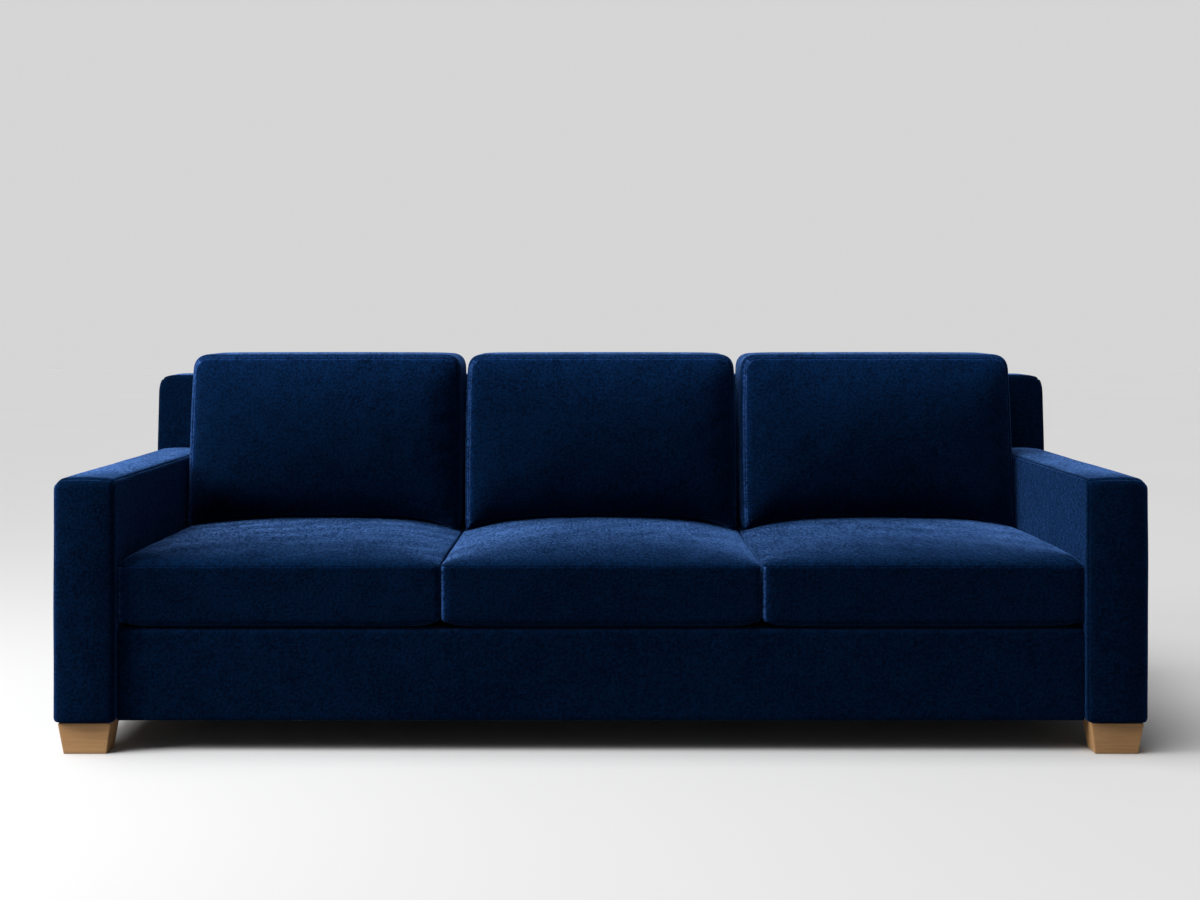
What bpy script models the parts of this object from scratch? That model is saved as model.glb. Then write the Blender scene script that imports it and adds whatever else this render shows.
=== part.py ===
"""Three-seat sofa with square arms, three loose seat cushions and three loose back cushions.

A timber frame carries zig-zag springs and padded velvet covers, and stands on block feet. Each cushion is
a foam core in a zipped cover. Metres, +Z up: X runs along the sofa, -Y faces the sitter, and the origin is
on the floor under the middle of the sofa.
"""

import math

import bmesh
import bpy
import numpy as np

# Clearances
FIT = 0.0003  # between pieces that touch
CUSHION_GAP = 0.0045  # from a cushion to the next one and to the arms
SLIDER_PLAY = 0.0005  # round a zip slider
CUT_PAST = 0.010  # how far a cut runs past the face that it opens

SEAT_NAMES = ("left", "centre", "right")
SEAT_COUNT = len(SEAT_NAMES)
SIDES = {"left": -1, "right": 1}

# Outside of the sofa
OVERALL_WIDTH = 2.438
OVERALL_DEPTH = 1.016
GROUND_CLEARANCE = 0.070

# Arms
ARM_WIDTH = 0.136
ARM_HEIGHT = 0.611  # to the edge of the top, without its crown
ARM_CROWN = 0.007
ARM_TOP_OUTER_RADIUS = 0.022
ARM_TOP_INNER_RADIUS = 0.014
ARM_BOTTOM_RADIUS = 0.014
ARM_FRONT_RADIUS = 0.012
ARM_PADDING = 0.015
ARM_BOARD = 0.035
ARM_POST = 0.060

# Back
BACK_DEPTH = 0.150
BACK_HEIGHT = 0.818
BACK_LEAN_DEG = 5.0  # of the front face above the arms
BACK_TOP_RADIUS = 0.033
BACK_BOTTOM_RADIUS = 0.018
BACK_FRONT_RADIUS = 0.016
BACK_REAR_RADIUS = 0.008
BACK_FRONT_PADDING = 0.045
BACK_EDGE_PADDING = 0.016
BACK_POST = 0.050
BACK_TOP_RAIL = 0.050
BACK_BOTTOM_RAIL = 0.070
OUTSIDE_PANEL = 0.004

# Seat frame
SEAT_DECK_HEIGHT = 0.2735
RAIL_SETBACK = 0.025  # of the apron behind the front of the arms
RAIL_COVER = 0.012
RAIL_COVER_RETURN = 0.006  # thickness over and under the rail
RAIL_COVER_RADIUS = 0.008
RAIL_BOARD = 0.030
DECK_CLOTH = 0.004
DUST_COVER = 0.0015

# Springs
SPRING_WIRE = 0.004
SPRINGS_PER_SEAT = 4
SPRING_WAVES = 8
WAVE_BENDS = 4
SPRING_SWING = 0.044  # across one spring, between the middles of its bends
SPRING_BAR = 0.006

# Feet, legs and their bolts
FOOT_TOP = (0.118, 0.074)
FOOT_BOTTOM = (0.096, 0.060)
FOOT_INSET = 0.006  # of a foot's top edge from the front or the rear of the sofa
FOOT_CORNER = 0.003
FOOT_EDGE = 0.0015
LEG_TOP = (0.060, 0.060)
LEG_BOTTOM = (0.044, 0.044)
BOLT_RADIUS = 0.004
BOLT_IN_FOOT = 0.035
BOLT_IN_FRAME = 0.025

# Seat cushions
SEAT_SETBACK = 0.018  # of the cushions' front behind the front of the arms
SEAT_BOXING = 0.142  # from the bottom to the top seam
SEAT_CROWN = 0.0425
SEAT_CORNER = 0.028
SEAT_BOTTOM_EDGE = 0.012
SEAT_BULGE = 0.003
SEAT_DRAW = 0.005  # how far the middles of the sides pull in
SEAT_SIDE_POWER = 4.0  # the higher, the flatter the crown is before it falls to the seam
SEAT_FRONT_POWER = 2.5
SEAT_REAR_POWER = 6.0

# Back cushions
BACK_CUSHION_HEIGHT = 0.4255
BACK_CUSHION_BOXING = 0.228
BACK_CUSHION_LEAN_DEG = 7.3
BACK_CUSHION_CROWN = 0.030
BACK_CUSHION_TOP_CORNER = 0.045
BACK_CUSHION_BOTTOM_CORNER = 0.026
BACK_CUSHION_REAR_EDGE = 0.030
BACK_CUSHION_TAPER = 0.007  # each side, from bottom to top
BACK_CUSHION_DRAW = 0.005
BACK_CUSHION_POWER = 3.0

# Foam cores and zips
WRAP = 0.026  # cover and fibre wrap round a core
WRAP_UNDER = 0.014
ZIP_LENGTH = 0.500
ZIP_SLOT = 0.0025
SLIDER_BODY = (0.012, 0.007, 0.005)
SLIDER_TAB_LENGTH = 0.024
SLIDER_TAB = 0.0018  # thickness

# Mesh fineness
CORNER_STEPS = 3
EDGE_STEPS = 3
BOLT_SIDES = 12
SHARP_EDGE_DEG = 35.0  # a sharper edge than this isn't shaded smooth
LEAST_CORNER = 0.1  # of the smallest radius, kept where an inset uses a corner up
CUSHION_MARKS = (0.17, 0.33, 0.5, 0.67, 0.83)
CROWN_RINGS = (0.95, 0.87, 0.74, 0.58, 0.40, 0.20)
ARM_TOP_MARKS = (0.2, 0.4, 0.6, 0.8)
NO_MARKS = ()

# Places worked out from the sizes above
HALF_WIDTH = OVERALL_WIDTH / 2
INNER = HALF_WIDTH - ARM_WIDTH  # from the middle to an arm's inner face
FRONT = -OVERALL_DEPTH / 2
REAR = OVERALL_DEPTH / 2
BACK_FACE = REAR - BACK_DEPTH  # where the arms meet the back
BACK_LEAN = math.tan(math.radians(BACK_LEAN_DEG))
SEAT_PITCH = (2 * INNER - CUSHION_GAP) / SEAT_COUNT
CUSHION_WIDTH = SEAT_PITCH - CUSHION_GAP
SEAT_BOTTOM = SEAT_DECK_HEIGHT + FIT
SEAT_DEPTH = BACK_FACE - CUSHION_GAP - FRONT - SEAT_SETBACK
SEAT_REAR = BACK_FACE - CUSHION_GAP
RAIL_FRONT = FRONT + RAIL_SETBACK
RAIL_REAR = RAIL_FRONT + RAIL_COVER + FIT + RAIL_BOARD
FRAME_BOTTOM = GROUND_CLEARANCE + DUST_COVER + FIT
FRAME_TOP = SEAT_DECK_HEIGHT - DECK_CLOTH - FIT
SEAT_END = INNER - FIT  # outer face of the seat frame
BAY = (2 * SEAT_END - (SEAT_COUNT + 1) * RAIL_BOARD) / SEAT_COUNT  # between two rails
BAY_PITCH = BAY + RAIL_BOARD
BACK_CUSHION_LEAN = math.tan(math.radians(BACK_CUSHION_LEAN_DEG))
SLIDER_LENGTH = SLIDER_BODY[0] + SLIDER_TAB_LENGTH
GROOVE_WIDTH = SLIDER_BODY[1] + 2 * SLIDER_PLAY
GROOVE_DEPTH = SLIDER_BODY[2] + SLIDER_PLAY + FIT
SEAT_GROOVE = -SEAT_DRAW - GROOVE_DEPTH  # floor of the seat zip groove, from the cushion's rear
BACK_CUSHION_BOTTOM = SEAT_BOTTOM + SEAT_BOXING + SEAT_CROWN + FIT

# Colour, roughness and metallic value of each finish
FINISHES = {
    "velvet": ((0.0020, 0.0075, 0.0270), 0.85, 0.0),
    "oak": ((0.380, 0.225, 0.110), 0.55, 0.0),
    "frame_wood": ((0.560, 0.400, 0.230), 0.70, 0.0),
    "foam": ((0.800, 0.760, 0.600), 0.95, 0.0),
    "lining": ((0.012, 0.012, 0.014), 0.95, 0.0),
    "steel": ((0.420, 0.420, 0.430), 0.40, 1.0),
    "zip_metal": ((0.110, 0.105, 0.100), 0.35, 1.0),
}


def clear_scene():
    """Takes every object out of the scene."""
    for item in list(bpy.data.objects):
        bpy.data.objects.remove(item, do_unlink=True)


def place_empty(name, place, parent=None):
    """An empty that carries pieces, at a place in its parent's space."""
    empty = bpy.data.objects.new(name, None)
    empty.location = place
    empty.parent = parent
    bpy.context.collection.objects.link(empty)
    return empty


def place_piece(name, mesh, finish, parent, place=(0, 0, 0), turn=0.0):
    """A named piece with its own material, at a place in its parent's space, turned about X."""
    colour, roughness, metallic = FINISHES[finish]
    material = bpy.data.materials.new(f"{name}_{finish}")
    material.use_nodes = True
    shader = material.node_tree.nodes["Principled BSDF"]
    shader.inputs["Base Color"].default_value = (*colour, 1.0)
    shader.inputs["Roughness"].default_value = roughness
    shader.inputs["Metallic"].default_value = metallic
    piece = bpy.data.objects.new(name, mesh)
    piece.location = place
    piece.rotation_euler = (turn, 0, 0)
    piece.parent = parent
    bpy.context.collection.objects.link(piece)
    if not mesh.materials:
        mesh.materials.append(None)
    piece.material_slots[0].link = "OBJECT"
    piece.material_slots[0].material = material
    return piece


def lofted_mesh(name, rings, tip=None, strips=False):
    """A closed skin over rings with equal counts of points.

    The first ring is filled flat. The last one is filled flat, drawn together to a tip, or filled with
    level strips between its right and its left half.
    """
    shape = bmesh.new()
    loops = [[shape.verts.new(point) for point in ring] for ring in rings]
    count = len(loops[0])
    for near, far in zip(loops, loops[1:]):
        for i in range(count):
            j = (i + 1) % count
            shape.faces.new((near[i], near[j], far[j], far[i]))
    shape.faces.new(loops[0])
    last = loops[-1]
    if tip is not None:
        point = shape.verts.new(tip)
        for i in range(count):
            shape.faces.new((last[i], last[(i + 1) % count], point))
    elif strips:
        for i in range(count // 2 - 1):
            shape.faces.new((last[i], last[i + 1], last[count - 2 - i], last[count - 1 - i]))
    else:
        shape.faces.new(last)
    bmesh.ops.recalc_face_normals(shape, faces=shape.faces)
    mesh = bpy.data.meshes.new(name)
    shape.to_mesh(mesh)
    shape.free()
    mesh.shade_smooth()
    mesh.set_sharp_from_angle(angle=math.radians(SHARP_EDGE_DEG))
    return mesh


def block_mesh(name, low, high):
    """A plain board from its lowest to its highest corner."""
    flat = [(low[0], low[1]), (high[0], low[1]), (high[0], high[1]), (low[0], high[1])]
    return lofted_mesh(name, [[(x, y, z) for x, y in flat] for z in (low[2], high[2])])


def extruded_mesh(name, outline, low_x, high_x):
    """An outline in Y and Z, drawn out along X."""
    return lofted_mesh(name, [[(x, y, z) for y, z in outline] for x in (low_x, high_x)])


def rod_mesh(name, radius, place, low_z, high_z):
    """An upright round rod."""
    turns = np.linspace(0, 2 * math.pi, BOLT_SIDES, endpoint=False)
    flat = np.column_stack((place[0] + radius * np.cos(turns), place[1] + radius * np.sin(turns)))
    return lofted_mesh(name, [[(x, y, z) for x, y in flat] for z in (low_z, high_z)])


def carved_mesh(mesh, tools, operation="DIFFERENCE"):
    """The mesh after each tool in turn is cut from it or joined to it."""
    body = bpy.data.objects.new(mesh.name, mesh)
    bpy.context.collection.objects.link(body)
    helpers = [body]
    for tool in tools:
        helper = bpy.data.objects.new(tool.name, tool)
        helper.hide_render = True
        helper.display_type = "WIRE"
        bpy.context.collection.objects.link(helper)
        helpers.append(helper)
        modifier = body.modifiers.new(tool.name, "BOOLEAN")
        modifier.operation = operation
        modifier.object = helper
    bpy.context.view_layer.update()
    graph = bpy.context.evaluated_depsgraph_get()
    carved = bpy.data.meshes.new_from_object(body.evaluated_get(graph))
    carved.name = mesh.name
    for helper in helpers:
        bpy.data.objects.remove(helper, do_unlink=True)
    return carved


def rounded_outline(low, high, radii, marks):
    """Points round a rectangle, anticlockwise from the start of its lower right corner.

    radii gives the lower right, upper right, upper left and lower left corner. marks gives the points
    between the corners on the right, top, left and bottom side, each as a share of that side.
    """
    corners = ((high[0], low[1]), high, (low[0], high[1]), low)
    inward = ((-1, 1), (-1, -1), (1, -1), (1, 1))
    arcs = []
    for index in range(4):
        centre = np.add(corners[index], np.multiply(inward[index], radii[index]))
        angles = np.radians(np.linspace(-90, 0, CORNER_STEPS + 1) + 90 * index)
        arcs.append(centre + radii[index] * np.column_stack((np.cos(angles), np.sin(angles))))
    points = []
    for index in range(4):
        start = arcs[index][-1]
        end = arcs[(index + 1) % 4][0]
        points.append(arcs[index])
        points.append(start + np.outer(marks[index], end - start))
    return np.vstack(points)


def inset_outline(low, high, radii, marks, inset):
    """The same outline, drawn in by an equal amount all round."""
    least = LEAST_CORNER * min(radii)
    shrunk = [max(radius - inset, least) for radius in radii]
    return rounded_outline(np.add(low, inset), np.subtract(high, inset), shrunk, marks)


def quarter_round(radius):
    """Pairs of inset and depth down a rounded edge, from its face to its side."""
    angles = np.linspace(0, math.pi / 2, EDGE_STEPS + 1)
    return [(radius * (1 - math.sin(angle)), radius * (1 - math.cos(angle))) for angle in angles]


def drilled(mesh, place, low_z, high_z):
    """The mesh with an upright hole for a hanger bolt."""
    hole = rod_mesh("hole", BOLT_RADIUS + FIT, place, low_z, high_z)
    return carved_mesh(mesh, [hole])


def drilled_board(name, low, high, places):
    """A board whose underside takes hanger bolts at the places given."""
    board = block_mesh(name, low, high)
    for place in places:
        board = drilled(board, place, low[2] - CUT_PAST, GROUND_CLEARANCE + BOLT_IN_FRAME + FIT)
    return board


def foot_places():
    """The middle of each block foot: under the arm at the front, under the back at the rear."""
    across = HALF_WIDTH - ARM_WIDTH / 2
    along = FOOT_INSET + FOOT_TOP[1] / 2
    ends = {"front": FRONT + along, "rear": REAR - along}
    return {(end, side): (sign * across, y) for end, y in ends.items() for side, sign in SIDES.items()}


def leg_place(side):
    """The middle of a support leg, under the middle of a cross rail."""
    return (SIDES[side] * BAY_PITCH / 2, (RAIL_REAR + BACK_FACE) / 2)


def taper_mesh(name, top, bottom, place):
    """A tapered block from the floor to the base of the sofa, bored for its bolt."""
    height = GROUND_CLEARANCE - FIT
    share = FOOT_EDGE / height
    rings = []
    for level, inset in ((0.0, FOOT_EDGE), (share, 0.0), (1.0, 0.0)):
        half = 0.5 * (np.array(bottom) + level * np.subtract(top, bottom)) - inset
        outline = rounded_outline(place - half, place + half, [FOOT_CORNER] * 4, [NO_MARKS] * 4)
        rings.append([(x, y, level * height) for x, y in outline])
    hole_bottom = GROUND_CLEARANCE - BOLT_IN_FOOT - FIT
    return drilled(lofted_mesh(name, rings), place, hole_bottom, GROUND_CLEARANCE + CUT_PAST)


def build_foot(name, top, bottom, place, finish, parent):
    """A foot or leg and the hanger bolt that holds it to the frame."""
    place_piece(name, taper_mesh(name, top, bottom, np.array(place)), finish, parent)
    low = GROUND_CLEARANCE - BOLT_IN_FOOT
    bolt = rod_mesh(f"{name}_bolt", BOLT_RADIUS, place, low, GROUND_CLEARANCE + BOLT_IN_FRAME)
    place_piece(f"{name}_bolt", bolt, "steel", parent)


def build_feet(parent):
    """Four oak block feet and two plain legs under the middle of the frame."""
    for (end, side), place in foot_places().items():
        build_foot(f"{end}_{side}_foot", FOOT_TOP, FOOT_BOTTOM, place, "oak", parent)
    for side in SIDES:
        build_foot(f"{side}_support_leg", LEG_TOP, LEG_BOTTOM, leg_place(side), "lining", parent)


def arm_ring(inset, y):
    """The right arm's section, drawn in by an inset: a rounded box whose top swells by the crown."""
    low = (INNER, GROUND_CLEARANCE)
    high = (HALF_WIDTH, ARM_HEIGHT)
    radii = (ARM_BOTTOM_RADIUS, ARM_TOP_OUTER_RADIUS, ARM_TOP_INNER_RADIUS, ARM_BOTTOM_RADIUS)
    marks = (NO_MARKS, ARM_TOP_MARKS, NO_MARKS, NO_MARKS)
    outline = inset_outline(low, high, radii, marks, inset)
    across = (outline[:, 0] - INNER) / (ARM_WIDTH / 2) - 1
    up = (outline[:, 1] - GROUND_CLEARANCE) / (ARM_HEIGHT - GROUND_CLEARANCE)
    rise = ARM_CROWN * (1 - across**2) * up
    return [(x, y, z + lift) for (x, z), lift in zip(outline, rise)]


def mirrored(mesh, sign):
    """The mesh itself on the right side, and its mirror image on the left."""
    if sign < 0:
        shape = bmesh.new()
        shape.from_mesh(mesh)
        bmesh.ops.scale(shape, vec=(-1, 1, 1), verts=shape.verts)
        bmesh.ops.reverse_faces(shape, faces=shape.faces)
        shape.to_mesh(mesh)
        shape.free()
    return mesh


def arm_cover_mesh(name):
    """The right arm's padded cover: a rounded box, open below and at the rear."""
    rings = [arm_ring(inset, FRONT + depth) for inset, depth in quarter_round(ARM_FRONT_RADIUS)]
    rings.append(arm_ring(0.0, BACK_FACE - FIT))
    low = (INNER + ARM_PADDING, FRONT + ARM_PADDING, GROUND_CLEARANCE - CUT_PAST)
    high = (HALF_WIDTH - ARM_PADDING, BACK_FACE + CUT_PAST, ARM_HEIGHT - ARM_PADDING)
    return carved_mesh(lofted_mesh(name, rings), [block_mesh("inside", low, high)])


def build_arm(side, parent):
    """One arm: four boards in a padded cover."""
    sign = SIDES[side]
    low_x = INNER + ARM_PADDING + FIT
    high_x = HALF_WIDTH - ARM_PADDING - FIT
    low_y = FRONT + ARM_PADDING + FIT
    high_y = BACK_FACE - FIT
    top = ARM_HEIGHT - ARM_PADDING - FIT
    low_z = GROUND_CLEARANCE + ARM_BOARD + FIT
    high_z = top - ARM_BOARD - FIT
    bolt = (HALF_WIDTH - ARM_WIDTH / 2, foot_places()["front", "right"][1])
    corners = {
        "bottom_board": ((low_x, low_y, GROUND_CLEARANCE), (high_x, high_y, low_z - FIT)),
        "top_board": ((low_x, low_y, high_z + FIT), (high_x, high_y, top)),
        "front_post": ((low_x, low_y, low_z), (high_x, low_y + ARM_POST, high_z)),
        "rear_post": ((low_x, high_y - ARM_POST, low_z), (high_x, high_y, high_z)),
    }
    for part, (low, high) in corners.items():
        name = f"{side}_arm_{part}"
        bolts = [bolt] if part == "bottom_board" else []
        place_piece(name, mirrored(drilled_board(name, low, high, bolts), sign), "frame_wood", parent)
    name = f"{side}_arm_cover"
    place_piece(name, mirrored(arm_cover_mesh(name), sign), "velvet", parent)


def back_ring(inset, depth):
    """The back's outline at a depth behind its face; above the arms the face leans back."""
    low = (-HALF_WIDTH, GROUND_CLEARANCE)
    high = (HALF_WIDTH, BACK_HEIGHT)
    radii = (BACK_BOTTOM_RADIUS, BACK_TOP_RADIUS, BACK_TOP_RADIUS, BACK_BOTTOM_RADIUS)
    straight = BACK_HEIGHT - BACK_TOP_RADIUS - GROUND_CLEARANCE - BACK_BOTTOM_RADIUS
    fold = (ARM_HEIGHT - GROUND_CLEARANCE - BACK_BOTTOM_RADIUS) / straight
    outline = inset_outline(low, high, radii, ([fold], NO_MARKS, [1 - fold], NO_MARKS), inset)
    lean = BACK_LEAN * np.maximum(outline[:, 1] - ARM_HEIGHT, 0) * (1 - depth / BACK_DEPTH)
    return [(x, BACK_FACE + depth + shift, z) for (x, z), shift in zip(outline, lean)]


def back_cover_mesh(name):
    """The back's padded cover: the front, the top and the ends, open below and at the rear."""
    rear = [(inset, BACK_DEPTH - depth) for inset, depth in quarter_round(BACK_REAR_RADIUS)]
    front = quarter_round(BACK_FRONT_RADIUS)
    rings = [back_ring(inset, depth) for inset, depth in rear + front[::-1]]
    half = HALF_WIDTH - BACK_EDGE_PADDING
    low = (-half, BACK_FACE + BACK_FRONT_PADDING, GROUND_CLEARANCE - CUT_PAST)
    high = (half, REAR + CUT_PAST, BACK_HEIGHT - BACK_EDGE_PADDING)
    return carved_mesh(lofted_mesh(name, rings, strips=True), [block_mesh("inside", low, high)])


def build_back(parent):
    """The back: six boards in a padded cover, closed behind by a thin panel."""
    half = HALF_WIDTH - BACK_EDGE_PADDING - FIT
    low_y = BACK_FACE + BACK_FRONT_PADDING + FIT
    panel_y = REAR - BACK_REAR_RADIUS
    high_y = panel_y - FIT
    top = BACK_HEIGHT - BACK_EDGE_PADDING - FIT
    low_z = GROUND_CLEARANCE + BACK_BOTTOM_RAIL + FIT
    high_z = top - BACK_TOP_RAIL - FIT
    bolts = [place for (end, _), place in foot_places().items() if end == "rear"]
    bottom_high = (half, high_y, low_z - FIT)
    bottom = drilled_board("back_bottom_rail", (-half, low_y, GROUND_CLEARANCE), bottom_high, bolts)
    place_piece("back_bottom_rail", bottom, "frame_wood", parent)
    rail = block_mesh("back_top_rail", (-half, low_y, high_z + FIT), (half, high_y, top))
    place_piece("back_top_rail", rail, "frame_wood", parent)
    for side, sign in SIDES.items():
        middles = {"end": half - BACK_POST / 2, "inner": SEAT_PITCH / 2}
        for kind, middle in middles.items():
            name = f"back_{side}_{kind}_post"
            low = (sign * middle - BACK_POST / 2, low_y, low_z)
            high = (sign * middle + BACK_POST / 2, high_y, high_z)
            place_piece(name, block_mesh(name, low, high), "frame_wood", parent)
    low = (-half, panel_y, GROUND_CLEARANCE)
    high = (half, panel_y + OUTSIDE_PANEL, top)
    place_piece("outside_back_panel", block_mesh("outside_back_panel", low, high), "velvet", parent)
    place_piece("back_cover", back_cover_mesh("back_cover"), "velvet", parent)


def rail_cover_mesh(name):
    """The velvet apron: a channel round the front rail, open at the rear, with rounded front edges."""
    curve = quarter_round(RAIL_COVER_RADIUS)
    lower = [(RAIL_FRONT + depth, GROUND_CLEARANCE + inset) for inset, depth in curve[::-1]]
    upper = [(RAIL_FRONT + depth, SEAT_DECK_HEIGHT - inset) for inset, depth in curve]
    inner_low = GROUND_CLEARANCE + RAIL_COVER_RETURN
    inner_high = SEAT_DECK_HEIGHT - RAIL_COVER_RETURN
    inner_front = RAIL_FRONT + RAIL_COVER
    outside = [(RAIL_REAR, GROUND_CLEARANCE), *lower, *upper, (RAIL_REAR, SEAT_DECK_HEIGHT)]
    inside = [(y, inner_high) for y in (RAIL_REAR, inner_front)]
    inside += [(y, inner_low) for y in (inner_front, RAIL_REAR)]
    return extruded_mesh(name, outside + inside, -SEAT_END, SEAT_END)


def build_seat_frame(parent):
    """The seat frame: rails between the arms, the apron, the deck cloth and the dust cover."""
    skin = RAIL_COVER_RETURN + FIT
    low = (-SEAT_END, RAIL_FRONT + RAIL_COVER + FIT, GROUND_CLEARANCE + skin)
    high = (SEAT_END, RAIL_REAR, SEAT_DECK_HEIGHT - skin)
    place_piece("seat_front_rail", block_mesh("seat_front_rail", low, high), "frame_wood", parent)
    back_y = BACK_FACE - FIT - RAIL_BOARD
    low = (-SEAT_END, back_y, FRAME_BOTTOM)
    high = (SEAT_END, BACK_FACE - FIT, FRAME_TOP)
    place_piece("seat_back_rail", block_mesh("seat_back_rail", low, high), "frame_wood", parent)
    for side, sign in SIDES.items():
        middles = {"end": SEAT_END - RAIL_BOARD / 2, "cross": BAY_PITCH / 2}
        for kind, middle in middles.items():
            name = f"seat_{side}_{kind}_rail"
            low = (sign * middle - RAIL_BOARD / 2, RAIL_REAR + FIT, FRAME_BOTTOM)
            high = (sign * middle + RAIL_BOARD / 2, back_y - FIT, FRAME_TOP)
            bolts = [leg_place(side)] if kind == "cross" else []
            place_piece(name, drilled_board(name, low, high, bolts), "frame_wood", parent)
    place_piece("front_rail_cover", rail_cover_mesh("front_rail_cover"), "velvet", parent)
    low = (-SEAT_END, RAIL_REAR + FIT, SEAT_DECK_HEIGHT - DECK_CLOTH)
    high = (SEAT_END, BACK_FACE - FIT, SEAT_DECK_HEIGHT)
    place_piece("seat_deck_cloth", block_mesh("seat_deck_cloth", low, high), "lining", parent)
    low = (-SEAT_END, RAIL_REAR + FIT, GROUND_CLEARANCE)
    high = (SEAT_END, BACK_FACE - FIT, GROUND_CLEARANCE + DUST_COVER)
    cover = drilled_board("dust_cover", low, high, [leg_place(side) for side in SIDES])
    place_piece("dust_cover", cover, "lining", parent)


def spring_mesh(name, x, low_y, high_y, middle_z):
    """One zig-zag spring: a square wire that swings from side to side as it runs from front to back."""
    half = SPRING_WIRE / 2
    low_z = middle_z - half
    high_z = middle_z + half
    steps = np.arange(WAVE_BENDS * SPRING_WAVES + 1)
    along = low_y + (high_y - low_y) * steps / steps[-1]
    across = x + SPRING_SWING / 2 * np.where(steps % WAVE_BENDS < WAVE_BENDS / 2, 1, -1)
    path = np.column_stack((across, along))
    heading = np.gradient(path, axis=0)
    heading /= np.linalg.norm(heading, axis=1)[:, None]
    side = half * np.column_stack((-heading[:, 1], heading[:, 0]))
    rings = []
    for (px, py), (sx, sy) in zip(path, side):
        left = (px + sx, py + sy)
        right = (px - sx, py - sy)
        rings.append([(*left, low_z), (*right, low_z), (*right, high_z), (*left, high_z)])
    return lofted_mesh(name, rings)


def spring_unit_mesh():
    """The springs of one seat, joined at both ends by a bar and half way by a tie wire."""
    top = FRAME_TOP
    low_y = RAIL_REAR + FIT
    high_y = BACK_FACE - 2 * FIT - RAIL_BOARD
    half = BAY / 2 - FIT
    middle_z = top - SPRING_BAR / 2
    bars = []
    for start in (low_y, (low_y + high_y - SPRING_BAR) / 2, high_y - SPRING_BAR):
        low = (-half, start, top - SPRING_BAR)
        bars.append(block_mesh("spring_bar", low, (half, start + SPRING_BAR, top)))
    spacing = BAY / SPRINGS_PER_SEAT
    springs = []
    for index in range(SPRINGS_PER_SEAT):
        x = (index - (SPRINGS_PER_SEAT - 1) / 2) * spacing
        ends = (low_y + SPRING_BAR / 2, high_y - SPRING_BAR / 2)
        springs.append(spring_mesh("spring", x, *ends, middle_z))
    return carved_mesh(springs[0], springs[1:] + bars, "UNION")


def build_springs(parent):
    """One drop-in spring unit in each bay of the seat frame."""
    unit = spring_unit_mesh()
    for index, name in enumerate(SEAT_NAMES):
        x = (index - (SEAT_COUNT - 1) / 2) * BAY_PITCH
        place_piece(f"{name}_seat_springs", unit, "steel", parent, (x, 0, 0))


def slider_mesh():
    """A zip slider with its pull tab lying flat: a stepped profile, drawn out across the zip."""
    length, width, height = SLIDER_BODY
    end = SLIDER_LENGTH
    profile = [(0, 0), (end, 0), (end, SLIDER_TAB), (length, SLIDER_TAB), (length, height), (0, height)]
    return lofted_mesh("zip_slider", [[(x, y, rise) for x, rise in profile] for y in (-width / 2, width / 2)])


def zip_start():
    """Where a slider rests along X: at the left end of its zip."""
    return -ZIP_LENGTH / 2 + SLIDER_PLAY


def seat_top(across, along):
    """The seat's crown: level across with a quick fall to the side seams, and fuller to the rear.

    across and along run from -1 to 1 over the cushion, along from its front to its rear.
    """
    power = np.where(np.asarray(along) < 0, SEAT_FRONT_POWER, SEAT_REAR_POWER)
    return SEAT_BOXING + SEAT_CROWN * (1 - np.abs(across) ** SEAT_SIDE_POWER) * (1 - np.abs(along) ** power)


def seat_ring(inset, height=None, scale=1.0):
    """The seat cushion's plan outline, behind its front edge; with no height it follows the crown."""
    half = np.array((CUSHION_WIDTH, SEAT_DEPTH)) / 2
    flat = inset_outline(-half, half, [SEAT_CORNER] * 4, [CUSHION_MARKS] * 4, inset) * scale
    across, along = (flat / half).T
    rise = seat_top(across, along) if height is None else np.full(len(flat), height)
    x = flat[:, 0] * (1 - SEAT_DRAW / half[0] * (1 - along**2))
    y = flat[:, 1] * (1 - SEAT_DRAW / half[1] * (1 - across**2)) - half[1]
    return np.column_stack((x, y, rise))


def seat_core_box(margin):
    """Corners of the seat's foam core, grown by a margin."""
    half = CUSHION_WIDTH / 2 - WRAP + margin
    low = (-half, -SEAT_DEPTH + WRAP - margin, WRAP_UNDER - margin)
    return low, (half, -WRAP + margin, SEAT_BOXING - WRAP_UNDER + margin)


def seat_cover_mesh():
    """The seat cushion's cover and wrap, hollow for the core, with a zip along its rear boxing."""
    rings = [seat_ring(SEAT_BULGE + inset, depth) for inset, depth in quarter_round(SEAT_BOTTOM_EDGE)]
    rings.append(seat_ring(0.0, SEAT_BOXING / 2))
    rings.append(seat_ring(SEAT_BULGE, SEAT_BOXING))
    rings += [seat_ring(SEAT_BULGE, scale=scale) for scale in CROWN_RINGS]
    cover = lofted_mesh("seat_cushion_cover", rings, (0, -SEAT_DEPTH / 2, float(seat_top(0, 0))))
    half = ZIP_LENGTH / 2
    width = GROOVE_WIDTH / 2
    middle = SEAT_BOXING / 2
    groove = block_mesh("groove", (-half, SEAT_GROOVE, middle - width), (half, CUT_PAST, middle + width))
    low = (zip_start(), -WRAP - CUT_PAST, middle - ZIP_SLOT / 2)
    slot = block_mesh("slot", low, (zip_start() + SLIDER_BODY[0], SEAT_GROOVE + FIT, middle + ZIP_SLOT / 2))
    return carved_mesh(cover, [block_mesh("inside", *seat_core_box(FIT)), groove, slot])


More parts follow.
